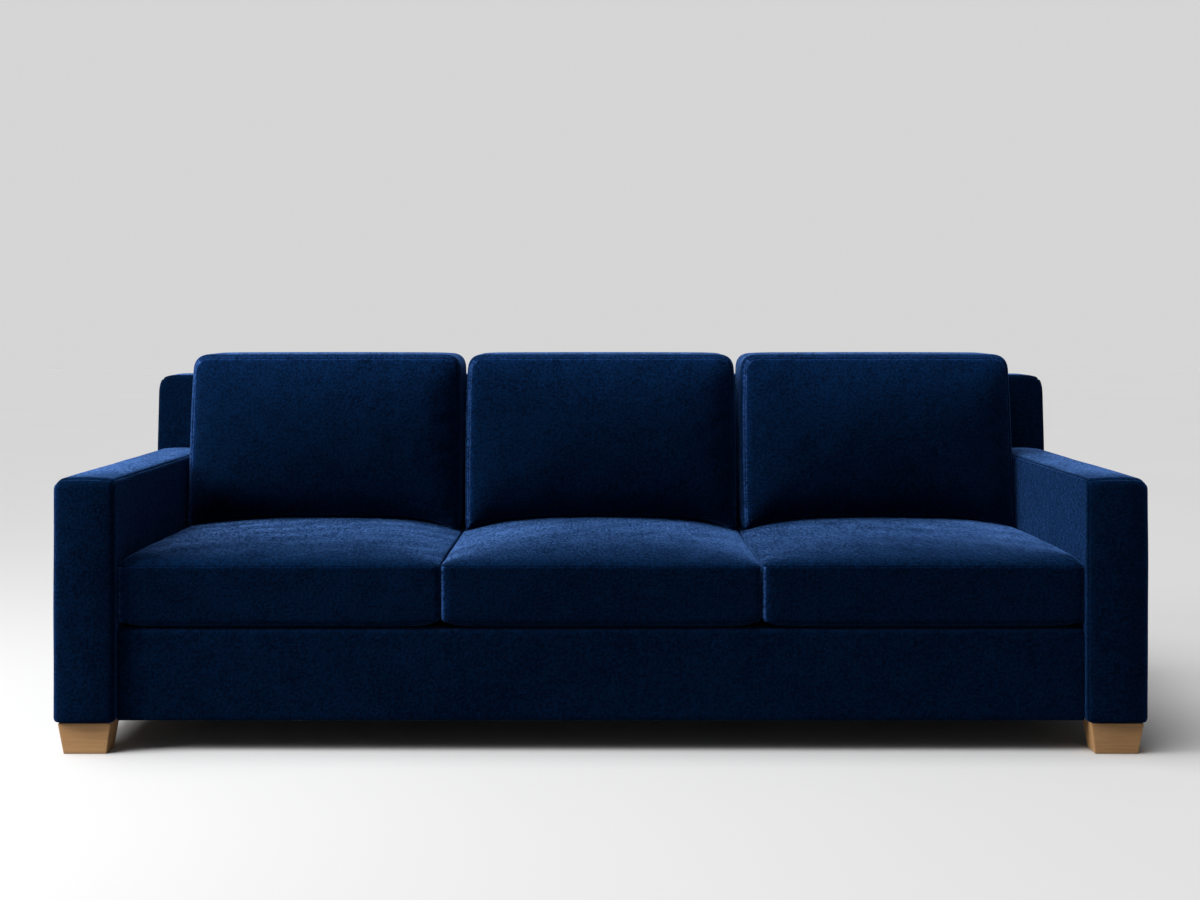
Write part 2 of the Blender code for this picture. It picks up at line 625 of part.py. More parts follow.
def build_seat_cushions(parent):
    """Three loose seat cushions, each on an empty at its rear, from which it pulls forward."""
    cover = seat_cover_mesh()
    core = block_mesh("seat_cushion_core", *seat_core_box(0.0))
    slider = slider_mesh()
    for index, name in enumerate(SEAT_NAMES):
        x = (index - (SEAT_COUNT - 1) / 2) * SEAT_PITCH
        cushion = place_empty(f"{name}_seat_cushion", (x, SEAT_REAR, SEAT_BOTTOM), parent)
        place_piece(f"{name}_seat_cushion_cover", cover, "velvet", cushion)
        place_piece(f"{name}_seat_cushion_core", core, "foam", cushion)
        place = (zip_start(), SEAT_GROOVE + FIT, SEAT_BOXING / 2)
        place_piece(f"{name}_seat_zip_slider", slider, "zip_metal", cushion, place, -math.pi / 2)


def lean_back(points, depth):
    """Points of a back cushion's outline in X and Z, at a depth in front of its leaning rear face."""
    return np.column_stack((points[:, 0], points[:, 1] * BACK_CUSHION_LEAN - depth, points[:, 1]))


def back_cushion_ring(inset, depth, scale=1.0):
    """The back cushion's front outline at a depth before its rear; a scale under 1 follows the crown.

    The sides taper to the top and draw in half way, and so does the top; the bottom stays flat.
    """
    low = np.array((-CUSHION_WIDTH / 2, 0.0))
    high = np.array((CUSHION_WIDTH / 2, BACK_CUSHION_HEIGHT))
    lower = BACK_CUSHION_BOTTOM_CORNER
    upper = BACK_CUSHION_TOP_CORNER
    flat = inset_outline(low, high, (lower, upper, upper, lower), [CUSHION_MARKS] * 4, inset)
    middle = (low + high) / 2
    flat = middle + (flat - middle) * scale
    across, up = ((flat - middle) / (high - middle)).T
    narrow = BACK_CUSHION_DRAW * (1 - up**2) + BACK_CUSHION_TAPER * (1 + up) / 2
    x = flat[:, 0] * (1 - narrow / high[0])
    z = flat[:, 1] * (1 - BACK_CUSHION_DRAW / high[1] * (1 - across**2))
    power = BACK_CUSHION_POWER
    crown = BACK_CUSHION_CROWN * (1 - np.abs(across) ** power) * (1 - np.abs(up) ** power)
    swell = crown if scale < 1 else np.zeros(len(flat))
    return lean_back(np.column_stack((x, z)), depth + swell)


def back_core_mesh(name, margin):
    """The back cushion's foam core, a leaning block, grown by a margin."""
    half = CUSHION_WIDTH / 2 - BACK_CUSHION_TAPER - WRAP + margin
    low = WRAP_UNDER - margin
    high = BACK_CUSHION_HEIGHT - WRAP + margin
    outline = np.array(((half, low), (half, high), (-half, high), (-half, low)))
    depths = (WRAP - margin, BACK_CUSHION_BOXING - WRAP + margin)
    return lofted_mesh(name, [lean_back(outline, depth) for depth in depths])


def back_cushion_cover_mesh():
    """The back cushion's cover and wrap, hollow for the core, with a zip along its underside."""
    rings = [back_cushion_ring(inset, depth) for inset, depth in quarter_round(BACK_CUSHION_REAR_EDGE)]
    rings.append(back_cushion_ring(0.0, BACK_CUSHION_BOXING))
    rings += [back_cushion_ring(0.0, BACK_CUSHION_BOXING, scale) for scale in CROWN_RINGS]
    tip = back_cushion_ring(0.0, BACK_CUSHION_BOXING, 0.0)[0]
    cover = lofted_mesh("back_cushion_cover", rings, tip)
    half = ZIP_LENGTH / 2
    width = GROOVE_WIDTH / 2
    middle = -BACK_CUSHION_BOXING / 2
    groove = block_mesh("groove", (-half, middle - width, -CUT_PAST), (half, middle + width, GROOVE_DEPTH))
    low = (zip_start(), middle - ZIP_SLOT / 2, GROOVE_DEPTH - FIT)
    high = (zip_start() + SLIDER_BODY[0], middle + ZIP_SLOT / 2, WRAP_UNDER + CUT_PAST)
    slot = block_mesh("slot", low, high)
    return carved_mesh(cover, [back_core_mesh("inside", FIT), groove, slot])


def back_cushion_rear():
    """How far back the cushions' rear edge lies: they lean on the back where they first meet it."""
    heights = np.array((ARM_HEIGHT, BACK_HEIGHT - BACK_FRONT_RADIUS))
    face = BACK_FACE + BACK_LEAN * (heights - ARM_HEIGHT)
    return float(np.min(face - BACK_CUSHION_LEAN * (heights - BACK_CUSHION_BOTTOM))) - FIT


def build_back_cushions(parent):
    """Three loose back cushions on the rear of the seat, each on an empty, from which it lifts."""
    cover = back_cushion_cover_mesh()
    core = back_core_mesh("back_cushion_core", 0.0)
    slider = slider_mesh()
    for index, name in enumerate(SEAT_NAMES):
        x = (index - (SEAT_COUNT - 1) / 2) * SEAT_PITCH
        cushion = place_empty(f"{name}_back_cushion", (x, back_cushion_rear(), BACK_CUSHION_BOTTOM), parent)
        place_piece(f"{name}_back_cushion_cover", cover, "velvet", cushion)
        place_piece(f"{name}_back_cushion_core", core, "foam", cushion)
        place = (zip_start(), -BACK_CUSHION_BOXING / 2, GROOVE_DEPTH - FIT)
        place_piece(f"{name}_back_zip_slider", slider, "zip_metal", cushion, place, math.pi)


def main():
    """Builds the sofa from the floor up."""
    clear_scene()
    sofa = place_empty("sofa", (0, 0, 0))
    build_feet(sofa)
    build_seat_frame(sofa)
    build_springs(sofa)
    for side in SIDES:
        build_arm(side, sofa)
    build_back(sofa)
    build_seat_cushions(sofa)
    build_back_cushions(sofa)


main()
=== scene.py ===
"""Looks of a three-seat velvet sofa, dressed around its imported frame.

Every soft piece is a skin of quads over a ruled box, bent into shape with whole arrays. The loose cushions
are then blown up as cloth. Metres, +Z up: X runs along the sofa and -Y faces the sitter.
"""

import logging
import math
from collections.abc import Callable, Mapping, Sequence
from dataclasses import dataclass
from enum import Enum
from typing import Any

import bpy
import numpy as np
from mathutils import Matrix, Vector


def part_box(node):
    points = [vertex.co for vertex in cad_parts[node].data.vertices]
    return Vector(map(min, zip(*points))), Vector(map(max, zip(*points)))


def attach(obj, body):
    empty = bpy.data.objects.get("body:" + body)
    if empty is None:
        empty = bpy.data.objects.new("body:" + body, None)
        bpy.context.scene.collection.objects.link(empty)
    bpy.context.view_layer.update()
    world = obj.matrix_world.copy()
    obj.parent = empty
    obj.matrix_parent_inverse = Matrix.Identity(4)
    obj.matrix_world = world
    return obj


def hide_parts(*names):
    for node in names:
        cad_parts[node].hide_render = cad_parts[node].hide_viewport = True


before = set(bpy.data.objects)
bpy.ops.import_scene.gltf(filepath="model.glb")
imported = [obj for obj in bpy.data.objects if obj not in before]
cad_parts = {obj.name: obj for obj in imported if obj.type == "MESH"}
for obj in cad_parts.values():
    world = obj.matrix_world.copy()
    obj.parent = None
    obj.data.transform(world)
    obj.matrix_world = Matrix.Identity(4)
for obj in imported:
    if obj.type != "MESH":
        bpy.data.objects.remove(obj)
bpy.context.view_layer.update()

Array = np.ndarray
Colour = tuple[float, float, float]

LOG = logging.getLogger("sofa")
FAR = 10_000  # steps: further than any seam reaches
TINY = 1e-9  # keeps a division from failing
SEAM_LINES = (0.0, 0.0015, 0.0034, 0.0070, 0.0125)  # of the ruling, from an edge inwards
PAINTED_LIGHT = "painted_light"  # attribute of painted light (above 0) and painted shade (below 0) on the velvet's pile


class Seat(Enum):
    """A place to sit, by the name that its pieces carry."""

    LEFT = "left"
    CENTRE = "centre"
    RIGHT = "right"

    @property
    def number(self) -> int:
        """Place in the row, from 0 at the left."""
        return list(Seat).index(self)


class Grain(Enum):
    """The axis that a finish is drawn out along."""

    X = 0
    Y = 1
    Z = 2


class Face(Enum):
    """A face of a box, by its axis and the sign of its direction."""

    LEFT = (0, -1)
    RIGHT = (0, 1)
    FRONT = (1, -1)
    REAR = (1, 1)
    BASE = (2, -1)
    TOP = (2, 1)

    @property
    def axis(self) -> int:
        """0, 1 or 2 for X, Y or Z."""
        return self.value[0]

    @property
    def sign(self) -> int:
        """-1 at the low end of the axis and 1 at the high end."""
        return self.value[1]

    @property
    def opposite(self) -> "Face":
        """The face across from it."""
        return Face((self.axis, -self.sign))


class Side(Enum):
    """An end of the sofa, by the face that looks away from it."""

    LEFT = Face.LEFT
    RIGHT = Face.RIGHT

    @property
    def word(self) -> str:
        """The name that the pieces of this end carry."""
        return self.name.lower()


@dataclass(frozen=True)
class Extent:
    """A box, by its lowest and highest corner."""

    low: Array
    high: Array

    @classmethod
    def of(cls, node: str) -> "Extent":
        """The box of one node of the frame."""
        low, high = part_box(node)
        return cls(np.array(low), np.array(high))

    @property
    def size(self) -> Array:
        """Length along X, Y and Z."""
        return self.high - self.low

    @property
    def middle(self) -> Array:
        """Centre of the box."""
        return (self.low + self.high) / 2

    def wider(self, left: float, right: float) -> "Extent":
        """The box with more room at both of its ends along X."""
        return Extent(self.low - np.array((left, 0.0, 0.0)), self.high + np.array((right, 0.0, 0.0)))


@dataclass
class Skin:
    """A closed skin of quads over a ruled box.

    Attributes:
        steps: Place of each point, counted along the three sets of lines.
        places: Points in metres, which move as the piece takes shape.
        faces: Four point numbers for each quad, facing out.
        counts: Number of lines along X, Y and Z.
        painted_light: Painted light on the pile at each point, up to 1, or painted shade, down to -1.
    """

    steps: Array
    places: Array
    faces: Array
    counts: tuple[int, ...]
    painted_light: Array

    @classmethod
    def over(cls, lines: Sequence[Array]) -> "Skin":
        """Rules the six faces of a box and welds them where they meet.

        Args:
            lines: Places of the lines along X, Y and Z, each from low to high.

        Returns:
            The skin, as sharp as the box.
        """
        counts = tuple(len(line) for line in lines)
        cells = []
        for axis in range(3):
            across, up = (axis + 1) % 3, (axis + 2) % 3
            grid = np.empty((counts[across], counts[up], 3), int)
            grid[..., across] = np.arange(counts[across])[:, None]
            grid[..., up] = np.arange(counts[up])[None, :]
            for end in (0, counts[axis] - 1):
                grid[..., axis] = end
                corners = (grid[:-1, :-1], grid[1:, :-1], grid[1:, 1:], grid[:-1, 1:])
                cell = np.stack(corners if end else corners[::-1], axis=2)
                cells.append(cell.reshape(-1, 4, 3))
        steps, faces = np.unique(np.concatenate(cells).reshape(-1, 3), axis=0, return_inverse=True)
        places = np.stack([np.asarray(lines[axis])[steps[:, axis]] for axis in range(3)], axis=1)
        return cls(steps, places, faces.reshape(-1, 4), counts, np.zeros(len(steps)))

    def steps_to(self, face: Face) -> Array:
        """Counts the lines between each point and a face, 0 on the face."""
        last = self.counts[face.axis] - 1 if face.sign > 0 else 0
        return np.abs(self.steps[:, face.axis] - last)

    def on(self, face: Face) -> Array:
        """Tells which points lie on a face, rim included."""
        return self.steps_to(face) == 0

    def from_rim(self, face: Face) -> Array:
        """Counts steps from the rim of a face, in over the face and down the walls.

        Args:
            face: The face.

        Returns:
            A whole number for each point, 0 on the rim.
        """
        sides = [self.steps_to(other) for other in Face if other.axis != face.axis]
        depth = self.steps_to(face)
        return np.where(depth == 0, np.min(sides, axis=0), depth)

    def from_fold(self, first: Face, second: Face) -> Array:
        """Counts steps from the edge where two faces meet, over both of them.

        Args:
            first: One face.
            second: The other.

        Returns:
            A whole number for each point, FAR off both faces.
        """
        one, two = self.steps_to(first), self.steps_to(second)
        return np.where(one == 0, two, np.where(two == 0, one, FAR))

    def normals(self) -> Array:
        """Averages the faces' directions at each point.

        Returns:
            A unit vector for each point.
        """
        corners = self.places[self.faces]
        facing = np.cross(corners[:, 2] - corners[:, 0], corners[:, 3] - corners[:, 1])
        total = np.zeros_like(self.places)
        np.add.at(total, self.faces.ravel(), np.repeat(facing, 4, axis=0))
        return total / np.linalg.norm(total, axis=1, keepdims=True)

    def press(self, away: Array, profile: Sequence[float]) -> None:
        """Sinks a seam: each point moves along its normal by the profile's value for its steps away.

        Args:
            away: Steps of each point from the seam.
            profile: Movement at 0, 1, 2 and more steps. Further points stay.
        """
        self.places += self.normals() * self.read(away, profile)[:, None]

    def paint_light(self, away: Array, profile: Sequence[float]) -> None:
        """Paints light (or shade) on the pile along an edge, by the profile's value for each point's steps
        away.
        """
        self.painted_light = np.clip(self.painted_light + self.read(away, profile), -1.0, 1.0)

    @staticmethod
    def read(away: Array, profile: Sequence[float]) -> Array:
        """The profile's value at 0, 1, 2 and more steps, and 0 further away."""
        return np.append(profile, 0.0)[np.minimum(away, len(profile))]

    def piece(self, name: str, material: bpy.types.Material) -> bpy.types.Object:
        """Makes the skin a smooth object whose quads are split in four."""
        item = mesh_piece(name, self.places, self.faces, material)
        split = item.modifiers.new("Finer", "SUBSURF")
        split.levels = split.render_levels = 1
        # the painted light and shade go onto the mesh for the velvet to read
        item.data.attributes.new(PAINTED_LIGHT, "FLOAT", "POINT").data.foreach_set("value", self.painted_light)
        return item


def mesh_piece(
    name: str, places: Array, faces: Array, material: bpy.types.Material | None = None
) -> bpy.types.Object:
    """Puts points and quads into a new smooth object at the origin.

    Args:
        name: Name of the piece.
        places: Points in metres.
        faces: Four point numbers for each quad.
        material: Its finish.

    Returns:
        The object, linked to the scene.
    """
    mesh = bpy.data.meshes.new(name)
    mesh.from_pydata(places, [], faces)
    mesh.validate()
    mesh.shade_smooth()
    if material:
        mesh.materials.append(material)
    item = bpy.data.objects.new(name, mesh)
    bpy.context.scene.collection.objects.link(item)
    return item


def ruled(length: float, step: float, near: Sequence[float] = SEAM_LINES) -> Array:
    """Spaces lines along a side: close together by both ends, then evenly.

    Args:
        length: Length of the side.
        step: Spacing to come near to in the middle.
        near: Distances of the close lines from an end, from 0 up.

    Returns:
        Places from 0 to the length.
    """
    edge = np.asarray(near)
    inner = length - 2 * edge[-1]
    count = max(2, round(inner / step))
    middle = edge[-1] + inner * np.arange(1, count) / count
    return np.concatenate((edge, middle, length - edge[::-1]))


def rounded(places: Array, size: Array, radius: float) -> Array:
    """Rounds all edges of a box.

    A point goes to the nearest place in the box drawn in by the radius, then out again by the radius.

    Args:
        places: Points on the skin of the box, which begins at 0.
        size: Size of the box.
        radius: Radius of the edges.

    Returns:
        The moved points.
    """
    core = np.clip(places, radius, size - radius)
    out = places - core
    return core + radius * out / np.linalg.norm(out, axis=1, keepdims=True)


def turn_corners(places: Array, box: Extent, radii: Mapping[tuple[Face, Face], float]) -> None:
    """Rounds edges of a box one after the other, each for all points in its corner square.

    Measured from the arc's centre, a point keeps its ring, the larger of its two distances, and goes to the
    arc of that ring.

    Args:
        places: Points, changed in place.
        box: The box.
        radii: Radius of each edge, by the two faces that meet in it.
    """
    for faces, radius in radii.items():
        axes = [face.axis for face in faces]
        outward = np.array([face.sign for face in faces])
        start = np.where(outward > 0, box.high[axes], box.low[axes]) - outward * radius
        reach = (places[:, axes] - start) * outward
        inside = (reach > 0).all(axis=1)
        arc = reach * (reach.max(axis=1) / np.maximum(np.linalg.norm(reach, axis=1), TINY))[:, None]
        places[:, axes] = np.where(inside[:, None], start + outward * arc, places[:, axes])


@dataclass(frozen=True)
class Ripple:
    """The unevenness of filled cloth: plane waves of mixed headings and lengths.

    Attributes:
        height: Height of the unevenness.
        length: Typical wavelength.
        seed: Picks the headings and phases.
        waves: Number of waves.
    """

    height: float
    length: float
    seed: int
    waves: int = 9

    STRETCH = (0.7, 1.6)  # range of the wavelengths

    def at(self, places: Array, number: int = 0) -> Array:
        """Adds up the waves.

        Args:
            places: Points in metres.
            number: Added to the seed, where pieces of one kind differ.

        Returns:
            A height for each point.
        """
        draw = np.random.default_rng(self.seed + number)
        heading = draw.normal(size=(3, self.waves))
        length = self.length * draw.uniform(*self.STRETCH, self.waves)
        heading *= 2 * math.pi / (np.linalg.norm(heading, axis=0) * length)
        waves = np.sin(places @ heading + draw.uniform(0, 2 * math.pi, self.waves))
        return self.height * waves.sum(axis=1) / math.sqrt(2 * self.waves)


@dataclass(frozen=True)
class Stuffing:
    """How a sewn cover is blown up over its filling.

    Attributes:
        pressure: Push from inside.
        frames: Steps of the cloth.
        seam_hold: How firmly the filling's edge holds the seams, from 0 to 1.
        rest_hold: The same for the face that it lies on.
        wall_share: Part of its movement that the boxing keeps, where the filling is firmer.
        cap: Furthest that a point may move.
    """

    pressure: float = 4.0
    frames: int = 20
    seam_hold: float = 0.40
    rest_hold: float = 0.80
    wall_share: float = 0.4
    cap: float = 0.026

    def swell(self, skin: Skin, panel: Face, rest: Array, reach: float) -> Array:
        """Blows the skin up as cloth.

        Args:
            skin: The cover, a little smaller than it will be.
            panel: The crowned panel. The panel across from it is sewn in the same way.
            rest: Tells which points lie on something.
            reach: Movement of the point that moves most.

        Returns:
            The movement of each point.
        """
        item = mesh_piece("cover", skin.places, skin.faces)
        seams = np.logical_or.reduce([skin.from_rim(face) == 0 for face in (panel, panel.opposite)])
        hold = item.vertex_groups.new(name="hold")
        hold.add(np.flatnonzero(rest).tolist(), self.rest_hold, "REPLACE")
        hold.add(np.flatnonzero(seams).tolist(), self.seam_hold, "REPLACE")
        cloth = item.modifiers.new("swell", "CLOTH")
        cloth.settings.use_pressure = True
        cloth.settings.uniform_pressure_force = self.pressure
        cloth.settings.vertex_group_mass = hold.name
        cloth.settings.effector_weights.gravity = 0.0
        cloth.point_cache.frame_start = 1
        cloth.point_cache.frame_end = self.frames
        for number in range(1, self.frames + 1):
            bpy.context.scene.frame_set(number)
        blown = item.evaluated_get(bpy.context.evaluated_depsgraph_get()).to_mesh()
        places = np.empty(3 * len(skin.places), np.float32)
        blown.vertices.foreach_get("co", places)
        bpy.data.objects.remove(item)
        bpy.context.scene.frame_set(1)
        shift = places.reshape(-1, 3) - skin.places
        length = np.linalg.norm(shift, axis=1, keepdims=True)
        shift *= np.minimum(reach / length.max(), self.cap / np.maximum(length, TINY))
        return shift * np.where(skin.on(panel), 1.0, self.wall_share)[:, None]


class Field:
    """A shader value. Its operators add Math nodes to the bench that it comes from."""

    def __init__(self, bench: "Bench", socket: bpy.types.NodeSocket) -> None:
        """Wraps one output socket of a bench's nodes."""
        self.bench = bench
        self.socket = socket

    def __add__(self, other: Any) -> "Field":
        """Sum."""
        return self.bench.math("ADD", self, other)

    __radd__ = __add__

    def __sub__(self, other: Any) -> "Field":
        """Difference."""
        return self.bench.math("SUBTRACT", self, other)

    def __rsub__(self, other: Any) -> "Field":
        """Difference, from a number."""
        return self.bench.math("SUBTRACT", other, self)

    def __mul__(self, other: Any) -> "Field":
        """Product."""
        return self.bench.math("MULTIPLY", self, other)

    __rmul__ = __mul__

    def clamped(self) -> "Field":
        """The value, kept from 0 to 1."""
        return self.bench.add("ShaderNodeClamp", inputs={"Value": self})


@dataclass(frozen=True)
class Layer:
    """One layer of noise in a finish.

    Attributes:
        scale: Clumps to the metre.
        detail: Number of finer octaves.
        roughness: Weight of those.
        shade: Weight of the layer in the shade.
        gloss: Its weight in the roughness.
        height: Its weight in the relief.
        drawn: Share that is left of distances along the grain.
    """

    scale: float
    detail: float
    roughness: float = 0.5
    shade: float = 0.0
    gloss: float = 0.0
    height: float = 0.0
    drawn: float = 1.0


class Bench:
    """The node tree of a material or a world, on which nodes are laid out."""

    COLOURS = (6, 7)  # colour inputs of a Mix node
    COLOUR = 2  # its colour output

    def __init__(self, owner: bpy.types.Material | bpy.types.World) -> None:
        """Starts with the nodes that the owner has when new."""
        owner.use_nodes = True
        self.owner = owner
        self.tree = owner.node_tree
        self.out = next(node for node in self.tree.nodes if not node.outputs)

    def add(
        self,
        kind: str,
        settings: Mapping[str, Any] | None = None,
        inputs: Mapping[str | int, Any] | None = None,
        output: str | int = 0,
    ) -> Field:
        """Adds one node.

        Args:
            kind: Blender's type of the node.
            settings: Its own settings, which are set first.
            inputs: Values or fields of its sockets, by name or number.
            output: Name or number of the output that is wanted.

        Returns:
            That output.
        """
        node = self.tree.nodes.new(kind)
        for key, value in (settings or {}).items():
            setattr(node, key, value)
        for key, value in (inputs or {}).items():
            self.feed(node.inputs[key], value)
        return Field(self, node.outputs[output])

    def feed(self, socket: bpy.types.NodeSocket, value: Any) -> None:
        """Sets a socket to a number, vector or colour, or links a field to it."""
        if isinstance(value, Field):
            self.tree.links.new(value.socket, socket)
        else:
            socket.default_value = (*value, 1.0) if socket.type == "RGBA" else value

    def math(self, operation: str, first: Any, second: Any) -> Field:
        """Adds a Math node on two numbers or fields."""
        return self.add("ShaderNodeMath", {"operation": operation}, {0: first, 1: second})

    def mix(self, share: Any, first: Any, second: Any) -> Field:
        """Mixes two colours or fields: a share of 0 is all first, and 1 is all second."""
        inputs = {0: share, self.COLOURS[0]: first, self.COLOURS[1]: second}
        return self.add("ShaderNodeMix", {"data_type": "RGBA"}, inputs, self.COLOUR)

    def noise(self, layer: Layer, grain: Grain = Grain.X) -> Field:
        """Adds a layer of noise over the piece, moved to lie about 0.

        Args:
            layer: The layer.
            grain: Axis that it is drawn out along.

        Returns:
            The noise, mostly from -0.25 to 0.25.
        """
        scale = [1.0, 1.0, 1.0]
        scale[grain.value] = layer.drawn
        point = self.add("ShaderNodeTexCoord", output="Object")
        place = self.add("ShaderNodeMapping", inputs={"Vector": point, "Scale": scale})
        inputs = {"Vector": place, "Scale": layer.scale, "Detail": layer.detail, "Roughness": layer.roughness}
        return self.add("ShaderNodeTexNoise", inputs=inputs) - 0.5

    def bump(self, height: Field, depth: float, strength: float) -> Field:
        """Turns a height into a normal.

        Args:
            height: The height, about 0 to 1.
            depth: Metres for a height of 1.
            strength: Share of the effect.

        Returns:
            The normal.
        """
        return self.add("ShaderNodeBump", inputs={"Height": height, "Distance": depth, "Strength": strength})

    def finish(self, sockets: Mapping[str, Any]) -> bpy.types.Material:
        """Feeds the sockets of a new material's shader, and gives back the material."""
        for key, value in sockets.items():
            self.feed(self.tree.nodes["Principled BSDF"].inputs[key], value)
        return self.owner

    def blend(self, share: Field, under: Field, over: Field) -> None:
        """Puts out two shaders, with more of the second where the share is nearer to 1."""
        mixed = self.add("ShaderNodeMixShader", inputs={0: share, 1: under, 2: over})
        self.feed(self.out.inputs["Surface"], mixed)


@dataclass(frozen=True)
class Finish:
    """A finish of two colours, which layers of noise mix, roughen and raise.

    Attributes:
        name: Name of the material.
        first: Colour at a shade of 0.
        second: Colour at a shade of 1.
        gloss: Roughness where the noise is 0.
        grain: Axis that the layers are drawn out along.
    """

    name: str
    first: Colour
    second: Colour
    gloss: float
    grain: Grain = Grain.X

    LAYERS = ()
    MIDDLE = 0.5  # shade where the noise is 0
    RELIEF = 0.0005  # metres for a height of 1
    STRENGTH = 0.6  # share of the relief that shows
    FIXED = {}  # other sockets of the shader

    def material(self) -> bpy.types.Material:
        """Lays out the layers and what a kind of finish adds to them.

        Returns:
            The material.
        """
        bench = Bench(bpy.data.materials.new(self.name))
        noises = [(layer, bench.noise(layer, self.grain)) for layer in self.LAYERS]
        shade = self.total(noises, self.MIDDLE, lambda layer: layer.shade).clamped()
        height = self.total(noises, 0.5, lambda layer: layer.height)
        sockets = {
            **self.FIXED,
            "Base Color": bench.mix(shade, self.first, self.second),
            "Roughness": self.total(noises, self.gloss, lambda layer: layer.gloss),
            "Normal": bench.bump(height, self.RELIEF, self.STRENGTH),
        }
        return bench.finish(sockets | self.extras(bench, shade, height, sockets))

    @staticmethod
    def total(
        noises: Sequence[tuple[Layer, Field]], start: float, weigh: Callable[[Layer], float]
    ) -> Field:
        """Adds up weighed layers.

        Args:
            noises: The layers with their noise.
            start: Value where the noise is 0.
            weigh: Picks the weight of a layer.

        Returns:
            The sum.
        """
        return sum((weigh(layer) * noise for layer, noise in noises if weigh(layer)), start)

    def extras(self, bench: Bench, shade: Field, height: Field, plain: Mapping[str, Any]) -> dict[str, Any]:
        """What a kind of finish has besides its layers.

        Args:
            bench: Where the nodes go.
            shade: The mixed noise, from 0 to 1.
            height: The relief.
            plain: The sockets so far.

        Returns:
            Sockets to add or replace.
        """
        return {}


class Wood(Finish):
    """Sawn or polished timber: bands, streaks and pores, drawn out along the grain."""

    LAYERS = (
        Layer(60.0, 2.0, shade=1.3, drawn=0.06),
        Layer(260.0, 3.0, 0.6, shade=1.2, gloss=0.25, height=0.6, drawn=0.035),
        Layer(900.0, 1.0, shade=0.7, height=0.8, drawn=0.05),
    )
    MIDDLE = 0.36
    RELIEF = 0.0004
    STRENGTH = 0.5
    FIXED = {"Specular IOR Level": 0.35}


class PlainCloth(Finish):
    """A thin dull lining cloth: matted fibres."""

    LAYERS = (Layer(700.0, 3.0, 0.7, shade=1.6, gloss=0.2, height=1.0), Layer(60.0, 2.0, shade=0.8))
    FIXED = {"Specular IOR Level": 0.15}


class Metal(Finish):
    """Drawn or cast metal: tarnish and fine scratches."""

    LAYERS = (Layer(45.0, 3.0, 0.6, shade=1.8, gloss=0.4), Layer(1200.0, 1.0, height=1.0))
    MIDDLE = 0.4
    RELIEF = 0.0001
    STRENGTH = 0.4
    FIXED = {"Metallic": 1.0}


@dataclass(frozen=True)
class Velvet(Finish):
    """Short cut pile: nearly black face on, with a pale blue bloom at a glancing angle.

    Its layers are tips, tufts, brushed patches and broad sweeps.

    Attributes:
        highlight_colour: Paler base colour, painted where painted light lies on the pile.
        tip_deep: Darker colour of the tips, which show at a glancing angle.
        tip_lit: Their lighter colour.
        tip_power: The higher, the nearer to the glancing angle the tips begin to show.
        tip_most: The largest share of the tips that shows.
        wear: Share of the pale tips that shows, at any angle, where a strong painted highlight lies.
        bloom: Tint of the sheen.
        bloom_weight: Strength of the sheen.
        bloom_spread: Roughness of the sheen.
    """

    highlight_colour: Colour = (0.007, 0.042, 0.178)
    tip_deep: Colour = (0.108, 0.285, 0.84)
    tip_lit: Colour = (0.185, 0.405, 1.0)
    tip_power: float = 13.0
    tip_most: float = 0.30
    wear: float = 0.30
    bloom: Colour = (0.10, 0.33, 1.0)
    bloom_weight: float = 0.5
    bloom_spread: float = 0.25

    LAYERS = (
        Layer(620.0, 2.0, 0.6, shade=1.4, height=0.7, drawn=0.3),
        Layer(170.0, 2.0, 0.6, shade=2.4, gloss=0.3, height=1.3, drawn=0.3),
        Layer(24.0, 3.0, 0.6, shade=0.7, height=0.5, drawn=0.3),
        Layer(3.5, 2.0, shade=0.6, drawn=0.3),
    )
    RELIEF = 0.0030
    STRENGTH = 0.8
    LIE = 0.05  # share of the relief that turns the tips to the eye
    FIXED = {"Specular IOR Level": 0.01}
    MOTTLE = (0.2, 1.6)  # of what shows at a shade of 0, and what the shade adds
    EDGE = (1.4, 0.4)  # gain and start of the painted highlight that shows the pale tips

    def extras(self, bench: Bench, shade: Field, height: Field, plain: Mapping[str, Any]) -> dict[str, Any]:
        """Adds the sheen, the painted highlights and painted shade, and the pale tips, a second shader over
        the first.

        Args:
            bench: Where the nodes go.
            shade: The mixed noise, from 0 to 1.
            height: The relief.
            plain: The sockets so far.

        Returns:
            Sockets to add or replace.
        """
        # painted light and painted shade, read from the pieces' attribute
        painted_light = bench.add("ShaderNodeAttribute", {"attribute_name": PAINTED_LIGHT}, output="Fac")
        mottle = self.MOTTLE[0] + self.MOTTLE[1] * shade
        lie = bench.bump(height, self.RELIEF, self.LIE)
        facing = bench.add("ShaderNodeLayerWeight", inputs={"Blend": 0.5, "Normal": lie}, output="Facing")
        tipped = bench.math("MINIMUM", bench.math("POWER", facing, self.tip_power), self.tip_most)
        # painted highlight: where the painted light is strong the pale tips show at any angle; painted shade
        # below 0 hides the tips at a glancing angle
        edges = (self.EDGE[0] * painted_light - self.EDGE[1]).clamped()
        share = (tipped * (1.0 + painted_light).clamped() + self.wear * edges) * mottle
        tips = {
            "Base Color": bench.mix(shade, self.tip_deep, self.tip_lit),
            "Roughness": 1.0,
            "Specular IOR Level": 0.0,
            "Normal": plain["Normal"],
        }
        pile = Field(bench, bench.tree.nodes["Principled BSDF"].outputs[0])
        bench.blend(share.clamped(), pile, bench.add("ShaderNodeBsdfPrincipled", inputs=tips))
        return {
            # painted highlight: the base turns paler where painted light lies
            "Base Color": bench.mix((painted_light * mottle).clamped(), plain["Base Color"], self.highlight_colour),
            "Sheen Weight": self.bloom_weight,
            "Sheen Roughness": self.bloom_spread,
            "Sheen Tint": self.bloom,
        }


